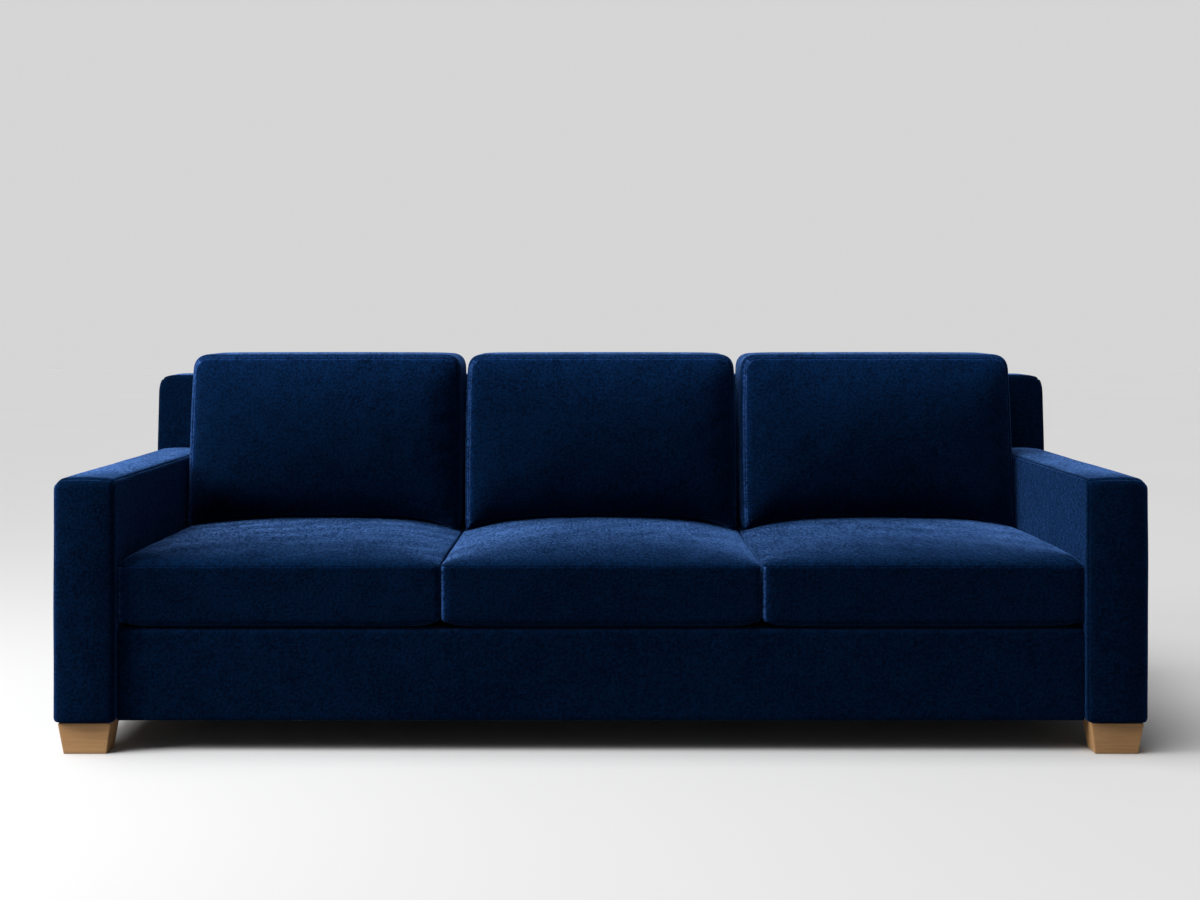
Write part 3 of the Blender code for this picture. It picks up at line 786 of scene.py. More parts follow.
@dataclass(frozen=True)
class Finishes:
    """The materials of the sofa, made once."""

    timber: Mapping[Grain, bpy.types.Material]
    velvet: bpy.types.Material
    oak: bpy.types.Material
    lining: bpy.types.Material
    deck: bpy.types.Material
    steel: bpy.types.Material
    zip_metal: bpy.types.Material

    @classmethod
    def make(cls) -> "Finishes":
        """Makes every material.

        Returns:
            The finishes.
        """
        pine = (0.62, 0.45, 0.26), (0.42, 0.27, 0.13), 0.72
        navy = (0.0005, 0.0045, 0.0170), (0.0016, 0.0150, 0.0540)
        return cls(
            timber={grain: Wood(f"pine_{grain.name.lower()}", *pine, grain).material() for grain in Grain},
            velvet=Velvet("navy_velvet", *navy, 0.86, Grain.Y).material(),
            oak=Wood("oak", (0.84, 0.480, 0.220), (0.60, 0.306, 0.120), 0.50).material(),
            lining=PlainCloth("black_lining", (0.006, 0.006, 0.007), (0.022, 0.022, 0.025), 0.92).material(),
            deck=PlainCloth("deck_cloth", (0.008, 0.010, 0.016), (0.026, 0.030, 0.042), 0.92).material(),
            steel=Metal("spring_steel", (0.46, 0.46, 0.47), (0.26, 0.25, 0.24), 0.36).material(),
            zip_metal=Metal("zip_metal", (0.16, 0.155, 0.15), (0.07, 0.068, 0.066), 0.34).material(),
        )


@dataclass(frozen=True)
class Roll:
    """The rounded edge of a padded panel: a quarter of an ellipse, which the seam divides.

    Attributes:
        reach: Width of the quarter, in over the panel.
        rise: Its height.
        seam_deg: Where the seam lies on it, from 0 at the widest place to 90 on the face.
    """

    reach: float
    rise: float
    seam_deg: float = 0.0

    @property
    def seam(self) -> float:
        """Place of the seam on the ellipse, in radians."""
        return math.radians(self.seam_deg)

    def lay(self, along: Array, half: float) -> tuple[Array, Array]:
        """Lays a panel's cloth over the rounded edges on both of its sides.

        From the seam the cloth follows the ellipse, by angle, and after that it is spread evenly.

        Args:
            along: Places across the flat cloth, from -half to half.
            half: Half of the width between the seams.

        Returns:
            Places across the panel, and shares of its full height.
        """
        quarter = math.pi / 2 - self.seam
        sweep = quarter * math.hypot(self.reach, self.rise) / math.sqrt(2)
        full = self.reach * math.cos(self.seam)
        inward = half - np.abs(along)
        turn = self.seam + quarter * np.clip(inward / sweep, 0, 1)
        bent = self.reach * (math.cos(self.seam) - np.cos(turn))
        flat = full + (inward - sweep) * (half - full) / (half - sweep)
        place = half - np.where(inward < sweep, bent, flat)
        share = (np.sin(turn) - math.sin(self.seam)) / (1 - math.sin(self.seam))
        return np.sign(along) * place, share

    def draw_in(self, behind: Array) -> Array:
        """Tells how far the boxing lies inside its widest place.

        Args:
            behind: Distances behind the seam.

        Returns:
            The inset at each.
        """
        lift = np.clip(math.sin(self.seam) - behind / self.rise, 0, 1)
        return self.reach * (1 - np.sqrt(1 - lift**2))


@dataclass(frozen=True)
class Role:
    """What a piece stands for in the frame.

    Attributes:
        name: Name of the piece.
        nodes: Solids that it replaces. It is shaped after the first.
        body: Body that it rides on.
        slot: Slot of its material. Not used.
        fill: How full its padding is. A hard piece has none. Not used.
    """

    name: str
    nodes: tuple[str, ...]
    body: str = "frame"
    slot: str = "velvet"
    fill: float | None = None

    def claim(self, item: bpy.types.Object) -> bpy.types.Object:
        """Hides the solids that the piece replaces, rides it on its body, and gives back the piece."""
        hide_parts(*self.nodes)
        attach(item, self.body)
        return item


@dataclass
class Piece:
    """A piece that takes the place of solids of the frame.

    Attributes:
        finishes: The materials.
    """

    finishes: Finishes

    @property
    def role(self) -> Role:
        """What the piece stands for."""
        raise NotImplementedError

    @property
    def room(self) -> Extent:
        """The box that it fills, which is that of the solid."""
        return Extent.of(self.role.nodes[0])

    @property
    def material(self) -> bpy.types.Material:
        """Its finish."""
        return self.finishes.velvet

    def sew(self) -> Skin:
        """Shapes the piece in its place on the sofa."""
        raise NotImplementedError

    def build(self) -> bpy.types.Object:
        """Makes the piece, hides the solids that it replaces and rides it on its body."""
        return self.role.claim(self.sew().piece(self.role.name, self.material))


@dataclass
class Cushion(Piece):
    """A loose box cushion, which is sewn a little small, blown up and spread to the width of its room.

    Attributes:
        seat: Where it lies.
        boxing: Distance between the two panels' seams.
        crown: Rise of the crowned panel above its seam.
        swell: Part of the crown that the cloth makes.
        slack: Room that is left at the sides for the swell.
        outer_spare: How far past the frame's solid it spreads beside an arm.
        inner_spare: The same beside another cushion.
        slider_sunk: How deep the zip's slider sits in the floor of its channel.
        step: Spacing of the ruling.
    """

    seat: Seat
    boxing: float = 0.142
    crown: float = 0.0380
    swell: float = 0.005
    slack: float = 0.0015
    outer_spare: float = 0.0041
    inner_spare: float = 0.0016
    slider_sunk: float = 0.0002
    step: float = 0.0135
    stuffing: Stuffing = Stuffing()

    KIND = ""  # as in the names of the cushion's pieces
    FILL = 0.0
    PANEL = Face.TOP  # which is crowned
    ZIP_FACE = Face.REAR
    UNEVEN = ()
    SEAMS = ()  # profiles of the crowned panel's seam and of the one across from it
    ZIP_LINES = np.array((-0.0105, -0.0076, -0.0060, 0.0, 0.0060, 0.0076, 0.0105))  # across its channel
    ZIP_ROOM = 0.014  # on both sides of its middle, without other lines
    ZIP_HALF = 0.0075  # from the middle of its channel to the top of a bank
    ZIP_BANK = 0.0013  # width of a bank
    ZIP_PAST = 0.021  # how far the channel runs past the slider
    ZIP_SLOPE = 0.006  # length of the slope at its ends

    @property
    def role(self) -> Role:
        """What the cushion stands for."""
        name = f"{self.seat.value}_{self.KIND}_cushion"
        return Role(name, (f"{name}_cover", f"{name}_core"), body=name, fill=self.FILL)

    @property
    def room(self) -> Extent:
        """The box that the cushion may fill: a little wider than the frame's solid."""
        left = self.outer_spare if self.seat is Seat.LEFT else self.inner_spare
        right = self.outer_spare if self.seat is Seat.RIGHT else self.inner_spare
        return super().room.wider(left, right)

    @property
    def slider(self) -> Extent:
        """Box of the zip's slider, at the zip's left end."""
        return Extent.of(f"{self.seat.value}_{self.KIND}_zip_slider")

    def shape(self, crown: float, slack: float) -> Skin:
        """Bends a ruled box into the cushion.

        Args:
            crown: Rise of the crowned panel.
            slack: Room to leave at the sides.

        Returns:
            The skin in its place on the sofa.
        """
        raise NotImplementedError

    def resting(self, skin: Skin) -> Array:
        """Tells which points lie on something."""
        raise NotImplementedError

    def wear(self, skin: Skin) -> None:
        """Paints highlights on the cushion's pile."""
        raise NotImplementedError

    def sew(self) -> Skin:
        """Makes the cushion, blows it up, sews its seams and spreads it.

        Returns:
            The skin.
        """
        skin = self.shape(self.crown - self.swell, self.slack)
        skin.places += self.stuffing.swell(skin, self.PANEL, self.resting(skin), self.swell)
        uneven = sum(wave.at(skin.places, self.seat.number) for wave in self.UNEVEN)
        skin.places[:, self.PANEL.axis] += np.where(skin.on(self.PANEL), uneven, 0.0)
        for face, profile in zip((self.PANEL, self.PANEL.opposite), self.SEAMS):
            skin.press(skin.from_rim(face), profile)
        # paints the highlights on the pile
        self.wear(skin)
        room = self.room
        across = skin.places[:, 0] - room.middle[0]
        skin.places[:, 0] = room.middle[0] + across * room.size[0] / np.ptp(across)
        self.sink_zip(skin)
        return skin

    def with_zip(self, lines: Array, middle: float) -> Array:
        """Puts the lines of the zip's channel in the place of those near its middle."""
        far = np.abs(lines - middle) > self.ZIP_ROOM
        return np.sort(np.concatenate((lines[far], middle + self.ZIP_LINES)))

    def sink_zip(self, skin: Skin) -> None:
        """Sinks a channel along X for the zip.

        Points between the banks come down to the floor, where the slider sits, and those outside stay.

        Args:
            skin: The cushion, whose points move.
        """
        axis, slider = self.ZIP_FACE.axis, self.slider
        inner = slider.low if self.ZIP_FACE.sign > 0 else slider.high
        floor = inner[axis] + self.ZIP_FACE.sign * self.slider_sunk
        middle = self.room.middle[0]
        off = np.abs(skin.places[:, 3 - axis] - slider.middle[3 - axis])
        left = middle - slider.low[0] + self.ZIP_PAST - np.abs(skin.places[:, 0] - middle)
        share = np.clip((self.ZIP_HALF - off) / self.ZIP_BANK, 0, 1) * np.clip(left / self.ZIP_SLOPE, 0, 1)
        share *= skin.on(self.ZIP_FACE)
        skin.places[:, axis] += share * (floor - skin.places[:, axis])


@dataclass
class SeatCushion(Cushion):
    """A seat cushion: a crowned top panel, a boxing strip and a flat base.

    Attributes:
        side_power: The higher, the flatter the crown before it falls to the sides.
        level: Part of the side edges' height that is left in the middle.
        ramp: Distance behind the front seam in which the crown gains 63% of its height.
        arm_edge: Rounded edge of the top beside an arm, which holds it up.
        arm_crest: Distance behind the front seam where that edge is highest.
        arm_run: Distance from there at which it would fall to nothing.
        side_edge: The same as arm_edge beside another cushion, at the front.
        settle: Share of the half depth behind the middle where that edge has settled flat.
        front_edge: Rounded edge of the top at the front.
        rear_edge: The same at the rear.
        corner: Radius of the upright corners.
        base_edge: Radius of the lower edge.
        base_lift: Height of the lower seam above the deck.
        base_power: The higher, the nearer to the seam the base begins to lift.
        corner_lift: How much higher the lower seam is at the corners.
        corner_power: The higher, the nearer to the corners it rises.
        draw: How far the middles of the seam pull in.
    """

    side_power: float = 3.3
    level: float = 0.35
    ramp: float = 0.125
    arm_edge: Roll = Roll(0.016, 0.0240)
    arm_crest: float = 0.15
    arm_run: float = 0.70
    side_edge: Roll = Roll(0.022, 0.010)
    settle: float = 0.3
    front_edge: Roll = Roll(0.075, 0.022)
    rear_edge: Roll = Roll(0.040, 0.022)
    corner: float = 0.012
    base_edge: float = 0.014
    base_lift: float = 0.0095
    base_power: float = 24
    corner_lift: float = 0.0060
    corner_power: float = 8
    draw: float = 0.0010

    KIND = "seat"
    FILL = 0.85
    UNEVEN = (Ripple(0.0012, 0.30, 11), Ripple(0.0005, 0.09, 21))
    SEAMS = ((-0.0012, -0.0003, 0.0003, 0.0001), (-0.0020, -0.0006))
    # painted highlights: a pale line along the top seam, and pale front corners, stronger on the left where
    # the light comes from
    TOP_WEAR = (0.34, 0.12)
    EDGE_WEAR = {Face.LEFT: (0.6, 0.65, 0.55, 0.35, 0.15), Face.RIGHT: (0.15, 0.15, 0.10)}

    def shape(self, crown: float, slack: float) -> Skin:
        """Bends a ruled box into the cushion.

        The top panel is laid over rolled edges. It rises by the height of the side edges, less in the
        middle of the cushion, times the rolled sides' and ends' shares. At a distance d behind the front
        seam, the edge beside an arm has 1 - ((d - crest) / run)^2 of its height. The rest of the crown is
        (1 - |u|^power)(1 - exp(-d / ramp)), less the rolled rear. The boxing draws in to its rounded lower
        edge, a little above the deck and more so at the corners.

        Args:
            crown: Rise of the top.
            slack: Room to leave at the sides.

        Returns:
            The skin in its place on the sofa.
        """
        room = self.room
        half = room.size / 2
        upright = self.with_zip(ruled(self.boxing, self.step), self.slider.middle[2] - room.low[2])
        skin = Skin.over([*(ruled(length, self.step) for length in room.size[:2]), upright])
        places = skin.places - half * (1, 1, 0)
        u, v = (places[:, :2] / half[:2]).T
        left = self.arm_edge if self.seat is Seat.LEFT else self.side_edge
        right = self.arm_edge if self.seat is Seat.RIGHT else self.side_edge
        depths = places[:, 1] + half[1]
        settled = np.clip((self.settle - v) / (1 + self.settle), 0, 1)
        held = np.maximum(1 - ((depths - self.arm_crest) / self.arm_run) ** 2, 0)
        rises = [roll.rise * (held if roll is self.arm_edge else settled) for roll in (left, right)]
        bow = np.abs(u) ** self.side_power
        edge = (rises[0] + (rises[1] - rises[0]) * (1 + u) / 2) * (self.level + (1 - self.level) * bow)
        to_left, left_share = left.lay(places[:, 0], half[0])
        to_right, right_share = right.lay(places[:, 0], half[0])
        ahead, front_share = self.front_edge.lay(places[:, 1], half[1])
        behind, rear_share = self.rear_edge.lay(places[:, 1], half[1])
        dome = (1 - np.exp(-depths / self.ramp)) * np.where(v < 0, 1.0, rear_share)
        rise = edge * np.where(u < 0, left_share, right_share) * np.where(v < 0, front_share, rear_share)
        rise += (crown - edge) * (1 - bow) * dome
        across = np.where(u < 0, to_left, to_right)
        rolled = np.column_stack((across, np.where(v < 0, ahead, behind), self.boxing + rise))
        under = np.clip(1 - places[:, 2] / self.base_edge, 0, 1)
        lift = self.base_lift * np.maximum(np.abs(u), np.abs(v)) ** self.base_power
        lift += self.corner_lift * np.abs(u * v) ** self.corner_power
        places[:, 2] += lift * (1 - places[:, 2] / self.boxing) ** 2
        inset = slack + self.base_edge * (1 - np.sqrt(1 - under**2))
        draw = self.draw * np.column_stack((1 - v**2, 1 - u**2))
        places = np.where(skin.on(Face.TOP)[:, None], rolled, places)
        corners = [(x, y) for x in (Face.LEFT, Face.RIGHT) for y in (Face.FRONT, Face.REAR)]
        turn_corners(places, Extent(-half, half), dict.fromkeys(corners, self.corner))
        places[:, :2] *= 1 - (inset[:, None] + draw) / half[:2]
        skin.places = places + np.array((*room.middle[:2], room.low[2]))
        return skin

    def resting(self, skin: Skin) -> Array:
        """Tells which points lie on the deck."""
        return skin.on(Face.BASE)

    def wear(self, skin: Skin) -> None:
        """Paints a highlight along the top seam and on the front corners, stronger on the left, and keeps the
        base above the deck.
        """
        skin.paint_light(skin.from_rim(Face.TOP), self.TOP_WEAR)
        for side, wear in self.EDGE_WEAR.items():
            skin.paint_light(skin.from_fold(side, Face.FRONT), wear)
        skin.places[:, 2] = np.maximum(skin.places[:, 2], self.room.low[2])


@dataclass
class BackCushion(Cushion):
    """A back cushion: a crowned front panel and a deep boxing strip, leaning on the back.

    Attributes:
        lean_deg: Lean of the panels.
        front: Rounded edge of the front panel.
        rear: Rounded edge of the rear panel.
        top_corner: Radius of the upper corners.
        low_corner: Radius of the lower corners.
        taper: How far each side leans in from bottom to top.
        draw: How far the middles of the sides pull in.
        droop: How far the lower corners settle on the falling sides of the seat.
        droop_power: The higher, the nearer to the corners they settle.
        droop_height: Height above the base where the settling ends.
        top_slack: Room that is left at the top for the swell, for each metre of slack.
    """

    boxing: float = 0.228
    crown: float = 0.070
    swell: float = 0.010
    outer_spare: float = 0.0042
    inner_spare: float = 0.0018
    step: float = 0.0125
    lean_deg: float = 7.3
    front: Roll = Roll(0.085, 0.048, 28.0)
    rear: Roll = Roll(0.030, 0.030, 60.0)
    top_corner: float = 0.034
    low_corner: float = 0.014
    taper: float = 0.003
    draw: float = -0.0025
    droop: float = 0.043
    droop_power: float = 5
    droop_height: float = 0.16
    top_slack: float = 3.0

    KIND = "back"
    FILL = 0.8
    PANEL = Face.FRONT
    ZIP_FACE = Face.BASE
    UNEVEN = (Ripple(0.0016, 0.26, 31), Ripple(0.0006, 0.08, 41))
    SEAMS = ((-0.0020, -0.0007, 0.0003, 0.0002), (-0.0020, -0.0006))
    # painted highlights on the front's left and upper edges, where the light comes from, and painted light
    # over the upper half of the front
    EDGE_WEAR = {Face.LEFT: (0.1, 0.55, 0.55, 0.30, 0.15), Face.TOP: (0.1, 0.3, 0.35, 0.25, 0.1)}
    HEAD_WEAR = 0.15
    UPPER_LIGHT_POWER = 1.5  # the higher, the nearer to the top the painted light lies

    def shape(self, crown: float, slack: float) -> Skin:
        """Bends a ruled box into the cushion.

        The front panel is laid over rolled edges, and swells by the product of their shares of height. A dome
        (1 - u^2)(1 - w^2) makes up the crown. The boxing is drawn in to both panels' rolled edges. Points
        lean back with their height, and low points settle by droop |u|^power.

        Args:
            crown: Rise of the front panel.
            slack: Room to leave at the sides.

        Returns:
            The skin in its place on the sofa.
        """
        room = self.room
        half = room.size / 2
        lean = math.tan(math.radians(self.lean_deg))
        rear_y = room.high[1] - lean * (room.size[2] - self.rear.reach)
        inward = self.with_zip(ruled(self.boxing, self.step), self.slider.middle[1] - rear_y + self.boxing)
        skin = Skin.over([ruled(room.size[0], self.step), inward, ruled(room.size[2], self.step)])
        places = skin.places - np.array((half[0], self.boxing, half[2]))
        u = places[:, 0] / half[0]
        w = places[:, 2] / half[2]
        across, side_share = self.front.lay(places[:, 0], half[0])
        up, end_share = self.front.lay(places[:, 2], half[2])
        edge = self.front.rise * (1 - math.sin(self.front.seam))
        swell = edge * side_share * end_share + (crown - edge) * (1 - u**2) * (1 - w**2)
        rolled = np.column_stack((across, places[:, 1] - swell, up))
        inset = self.front.draw_in(places[:, 1] + self.boxing) + self.rear.draw_in(-places[:, 1])
        places = np.where(skin.on(Face.FRONT)[:, None], rolled, places)
        radii = {Face.TOP: self.top_corner, Face.BASE: self.low_corner}
        corners = {(x, z): radius for x in (Face.LEFT, Face.RIGHT) for z, radius in radii.items()}
        turn_corners(places, Extent(-half, half), corners)
        narrow = slack + self.draw * (1 - w**2) + self.taper * ((1 + w) / 2) ** 2
        lower = np.where(w > 0, self.top_slack * slack, 0.0)
        places[:, 0] *= 1 - (inset + narrow) / half[0]
        places[:, 2] *= 1 - (inset + lower) / half[2]
        places[:, 2] += half[2]
        low = np.clip(1 - places[:, 2] / self.droop_height, 0, 1) ** 2
        places[:, 2] -= self.droop * np.abs(u) ** self.droop_power * low
        places[:, 1] += lean * places[:, 2] + rear_y
        skin.places = places + np.array((room.middle[0], 0.0, room.low[2]))
        return skin

    def resting(self, skin: Skin) -> Array:
        """Tells which points lie on the seat or lean on the back."""
        return skin.on(Face.BASE) | skin.on(Face.REAR)

    def wear(self, skin: Skin) -> None:
        """Paints highlights along the left and upper edges of the front, and painted light over its upper
        half, growing towards the top.
        """
        for side, wear in self.EDGE_WEAR.items():
            skin.paint_light(skin.from_fold(Face.FRONT, side), wear)
        up = 2 * (skin.places[:, 2] - self.room.low[2]) / self.room.size[2] - 1
        upper_light = self.HEAD_WEAR * np.clip(up, 0, 1) ** self.UPPER_LIGHT_POWER
        skin.painted_light = np.maximum(skin.painted_light, np.where(skin.on(Face.FRONT), upper_light, 0.0))


@dataclass
class Arm(Piece):
    """A square padded arm: a front panel sewn all round, and a top sewn along its inner edge.

    Attributes:
        side: Which arm.
        crown: Rise of the top between its edges.
        edge: Radius of the inner, lower and rear edges.
        outer_edge: Radius of the outer top edge, where the padding is thick.
        brow: Radius of the edge between top and front, where the cloth wraps over.
        pillow: Swell of the front and of the outside.
        step: Spacing of the ruling.
    """

    side: Side
    crown: float = 0.005
    edge: float = 0.011
    outer_edge: float = 0.022
    brow: float = 0.020
    pillow: float = 0.009
    step: float = 0.019

    SEAM = (-0.0018, -0.0007, 0.0003, 0.0002)
    # painted highlight on the front's outer edge; painted shade on the front's inner edge and over the top
    # towards the front; the inner face is made paler all over
    WEAR = (0.15, 0.35, 0.35, 0.2, 0.1)
    PRESSED = (-0.9, -0.9, -0.9, -0.7, -0.4)
    BROW_PRESSED = (-0.7, -0.7, -0.7, -0.7, -0.7, -0.65, -0.6, -0.5, -0.4, -0.3, -0.2, -0.1)
    INNER_WEAR = 0.16
    LINES = (*SEAM_LINES, 0.0180, 0.0240)
    UNEVEN = Ripple(0.0007, 0.22, 51)

    @property
    def role(self) -> Role:
        """What the arm stands for."""
        return Role(f"{self.side.word}_arm", (f"{self.side.word}_arm_cover",), fill=0.95)

    def sew(self) -> Skin:
        """Makes the arm.

        The top rises by crown (1 - a^2) across the arm. The front swells by pillow (1 - a^2) across, and the
        outside by pillow (1 - a^4)(1 - b^4).

        Returns:
            The skin.
        """
        room = self.room
        size = room.size - np.array((0.0, 0.0, self.crown))
        outer, inner = self.side.value, self.side.value.opposite
        skin = Skin.over([ruled(length, self.step, self.LINES) for length in size])
        share = 2 * skin.places / size - 1
        flat, full = 1 - share**2, 1 - share**4
        places = skin.places.copy()
        radii = {
            (outer, Face.TOP): self.outer_edge,
            (inner, Face.TOP): self.edge,
            (outer, Face.BASE): self.edge,
            (inner, Face.BASE): self.edge,
            (Face.FRONT, Face.TOP): self.brow,
            (Face.FRONT, Face.BASE): self.edge,
            (outer, Face.FRONT): self.edge,
            (inner, Face.FRONT): self.edge,
            (outer, Face.REAR): self.edge,
        }
        turn_corners(places, Extent(np.zeros(3), size), radii)
        places[:, 1] -= np.where(skin.on(Face.FRONT), self.pillow * flat[:, 0], 0.0)
        out = outer.sign * self.pillow * full[:, 1] * full[:, 2]
        places[:, 0] += np.where(skin.on(outer), out, 0.0)
        places[:, 2] += self.crown * flat[:, 0] * places[:, 2] / size[2]
        skin.places = places + room.low
        hidden = skin.on(Face.BASE) | skin.on(Face.REAR) | skin.on(inner)
        uneven = np.where(hidden, 0.0, self.UNEVEN.at(skin.places, outer.sign))
        skin.places += skin.normals() * uneven[:, None]
        for fold in ((Face.FRONT, Face.LEFT), (Face.FRONT, Face.RIGHT), (inner, Face.TOP)):
            skin.press(skin.from_fold(*fold), self.SEAM)
        # painted light and shade on the pile
        skin.paint_light(skin.from_fold(Face.FRONT, outer), self.WEAR)
        skin.painted_light += np.where(skin.on(inner), self.INNER_WEAR, 0.0)
        skin.paint_light(skin.from_fold(Face.FRONT, inner), self.PRESSED)
        skin.paint_light(np.where(skin.on(Face.TOP), skin.steps_to(Face.FRONT), FAR), self.BROW_PRESSED)
        return skin


@dataclass
class Back(Piece):
    """The padded back behind the cushions.

    Attributes:
        edge: Radius of its edges.
        top_corner: Radius of the two upper corners.
        low_corner: Radius of the two lower corners.
        lean_deg: Lean of the front above the arms.
        recess: How far the rear lies inside its rim.
        spare: How far past the frame's solid its ends spread.
        step: Spacing of the ruling.
    """

    edge: float = 0.013
    top_corner: float = 0.034
    low_corner: float = 0.018
    lean_deg: float = 5.0
    recess: float = 0.009
    spare: float = 0.003
    step: float = 0.022

    SEAM = (-0.0030, -0.0012, 0.0004, 0.0003)
    UNEVEN = Ripple(0.0007, 0.24, 61)

    @property
    def role(self) -> Role:
        """What the back stands for."""
        return Role("back", ("back_cover",), fill=0.95)

    @property
    def room(self) -> Extent:
        """The box of the solid, a little wider."""
        return super().room.wider(self.spare, self.spare)

    def sew(self) -> Skin:
        """Makes the back's cover.

        Above the arms the front leans back: y moves by tan(lean) times the height above the arms, and less
        towards the rear.

        Returns:
            The skin.
        """
        room = self.room
        size = room.size
        skin = Skin.over([ruled(length, self.step) for length in size])
        places = rounded(skin.places, size, self.edge)
        radii = {Face.BASE: self.low_corner, Face.TOP: self.top_corner}
        corners = {(x, z): radius for x in (Face.LEFT, Face.RIGHT) for z, radius in radii.items()}
        turn_corners(places, Extent(np.zeros(3), size), corners)
        inside = skin.on(Face.REAR) & (skin.from_rim(Face.REAR) >= len(SEAM_LINES) - 1)
        places[:, 1] -= np.where(inside, self.recess, 0.0)
        arms = Extent.of("left_arm_cover").high[2] - room.low[2]
        above = np.maximum(places[:, 2] - arms, 0.0)
        places[:, 1] += math.tan(math.radians(self.lean_deg)) * above * (1 - places[:, 1] / size[1])
        skin.places = places + room.low
        hidden = skin.on(Face.BASE) | skin.on(Face.REAR)
        uneven = np.where(hidden, 0.0, self.UNEVEN.at(skin.places))
        skin.places += skin.normals() * uneven[:, None]
        skin.press(skin.from_rim(Face.FRONT), self.SEAM)
        return skin


@dataclass
class OutsideBack(Piece):
    """The panel that closes the back behind: a thin board under velvet.

    Attributes:
        edge: Radius of its edges, as a share of its thickness.
        corner: Radius of its corners.
        pillow: Swell of its outside.
        step: Spacing of the ruling.
    """

    edge: float = 0.45
    corner: float = 0.018
    pillow: float = 0.005
    step: float = 0.022

    LINES = 3  # through its thickness

    @property
    def role(self) -> Role:
        """What the panel stands for."""
        return Role("outside_back", ("outside_back_panel",), fill=1.0)

    def sew(self) -> Skin:
        """Makes the panel, which swells by pillow (1 - a^4)(1 - b^4).

        Returns:
            The skin.
        """
        room = self.room
        size = room.size
        through = np.linspace(0.0, size[1], self.LINES)
        skin = Skin.over([ruled(size[0], self.step), through, ruled(size[2], self.step)])
        full = 1 - (2 * skin.places / size - 1) ** 4
        places = rounded(skin.places, size, self.edge * size[1])
        corners = [(x, z) for x in (Face.LEFT, Face.RIGHT) for z in (Face.BASE, Face.TOP)]
        turn_corners(places, Extent(np.zeros(3), size), dict.fromkeys(corners, self.corner))
        places[:, 1] += np.where(skin.on(Face.REAR), self.pillow * full[:, 0] * full[:, 2], 0.0)
        skin.places = places + room.low
        return skin


@dataclass
class FrontApron(Piece):
    """The velvet apron over the front rail, from arm to arm.

    Attributes:
        edge: Radius of its upper and lower edges.
        pillow: Swell of its front.
        step: Spacing of the ruling.
    """

    edge: float = 0.008
    pillow: float = 0.0015
    step: float = 0.022

    UNEVEN = Ripple(0.0008, 0.28, 71)

    @property
    def role(self) -> Role:
        """What the apron stands for."""
        return Role("front_apron", ("front_rail_cover",), fill=0.95)

    def sew(self) -> Skin:
        """Makes the apron, whose front swells by pillow (1 - b^2) up its height.

        Returns:
            The skin.
        """
        room = self.room
        size = room.size
        skin = Skin.over([ruled(length, self.step) for length in size])
        share = 2 * skin.places[:, 2] / size[2] - 1
        places = skin.places.copy()
        corners = [(Face.FRONT, Face.BASE), (Face.FRONT, Face.TOP)]
        turn_corners(places, Extent(np.zeros(3), size), dict.fromkeys(corners, self.edge))
        front = skin.on(Face.FRONT)
        places[:, 1] -= np.where(front, self.pillow * (1 - share**2), 0.0)
        skin.places = places + room.low
        skin.places[:, 1] += np.where(front, self.UNEVEN.at(skin.places), 0.0)
        return skin


@dataclass
class Foot(Piece):
    """A tapered oak block foot.

    Attributes:
        place: Its place under the sofa, as in its name.
        narrow: Width and depth at the floor, as shares of those at the top.
        edge: Radius of its edges.
        step: Spacing of the ruling.
    """

    place: str
    narrow: tuple[float, float] = (0.096 / 0.118, 0.060 / 0.074)
    edge: float = 0.0022
    step: float = 0.008

    LINES = (0.0, 0.0007, 0.0022)  # of the ruling, from an edge inwards

    @property
    def role(self) -> Role:
        """What the foot stands for."""
        return Role(f"{self.place}_block_foot", (f"{self.place}_foot",), slot="oak")

    @property
    def material(self) -> bpy.types.Material:
        """Oak."""
        return self.finishes.oak

    def sew(self) -> Skin:
        """Makes the foot: a rounded block whose width and depth grow evenly with height.

        Returns:
            The skin.
        """
        room = self.room
        size = room.size
        skin = Skin.over([ruled(length, self.step, self.LINES) for length in size])
        places = rounded(skin.places, size, self.edge)
        narrow = np.array(self.narrow)
        shares = narrow + (1 - narrow) * (places[:, 2:] / size[2])
        places[:, :2] = size[:2] / 2 + (places[:, :2] - size[:2] / 2) * shares
        skin.places = places + room.low
        return skin


@dataclass
class StretchedCloth(Piece):
    """A thin cloth stretched over the seat frame, above or below.

    Attributes:
        name: Name of the piece.
        node: Name of the frame's solid.
        sag: How far it hangs between the rails.
        thick: Thickness of the cloth.
        cloth: Its finish.
        bays: Number of bays between the rails.
        step: Spacing of the ruling.
    """

    name: str
    node: str
    sag: float
    thick: float
    cloth: bpy.types.Material
    bays: int = 3
    step: float = 0.03

    RAILS = ("seat_front_rail", "seat_back_rail")

    @property
    def role(self) -> Role:
        """What the cloth stands for."""
        return Role(self.name, (self.node,), slot="lining")

    def build(self) -> bpy.types.Object:
        """Makes the cloth: in each bay it sags by sag sin(pi a) sin(pi b).

        Returns:
            The cloth.
        """
        room = self.room
        width, depth, height = room.size
        columns = self.bays * round(width / self.bays / self.step) + 1
        rows = round(depth / self.step) + 1
        a, b = np.meshgrid(np.linspace(0, 1, columns), np.linspace(0, 1, rows), indexing="ij")
        fall = self.sag * np.abs(np.sin(math.pi * self.bays * a)) * np.sin(math.pi * b)
        places = np.stack((a * width, b * depth, height - self.thick / 2 - fall), axis=-1).reshape(-1, 3)
        first = (np.arange(columns - 1)[:, None] * rows + np.arange(rows - 1)).ravel()
        faces = np.column_stack((first, first + rows, first + rows + 1, first + 1))
        item = mesh_piece(self.name, places + room.low, faces, self.cloth)
        wall = item.modifiers.new("Thickness", "SOLIDIFY")
        wall.thickness = self.thick
        wall.offset = 0.0
        return self.role.claim(item)


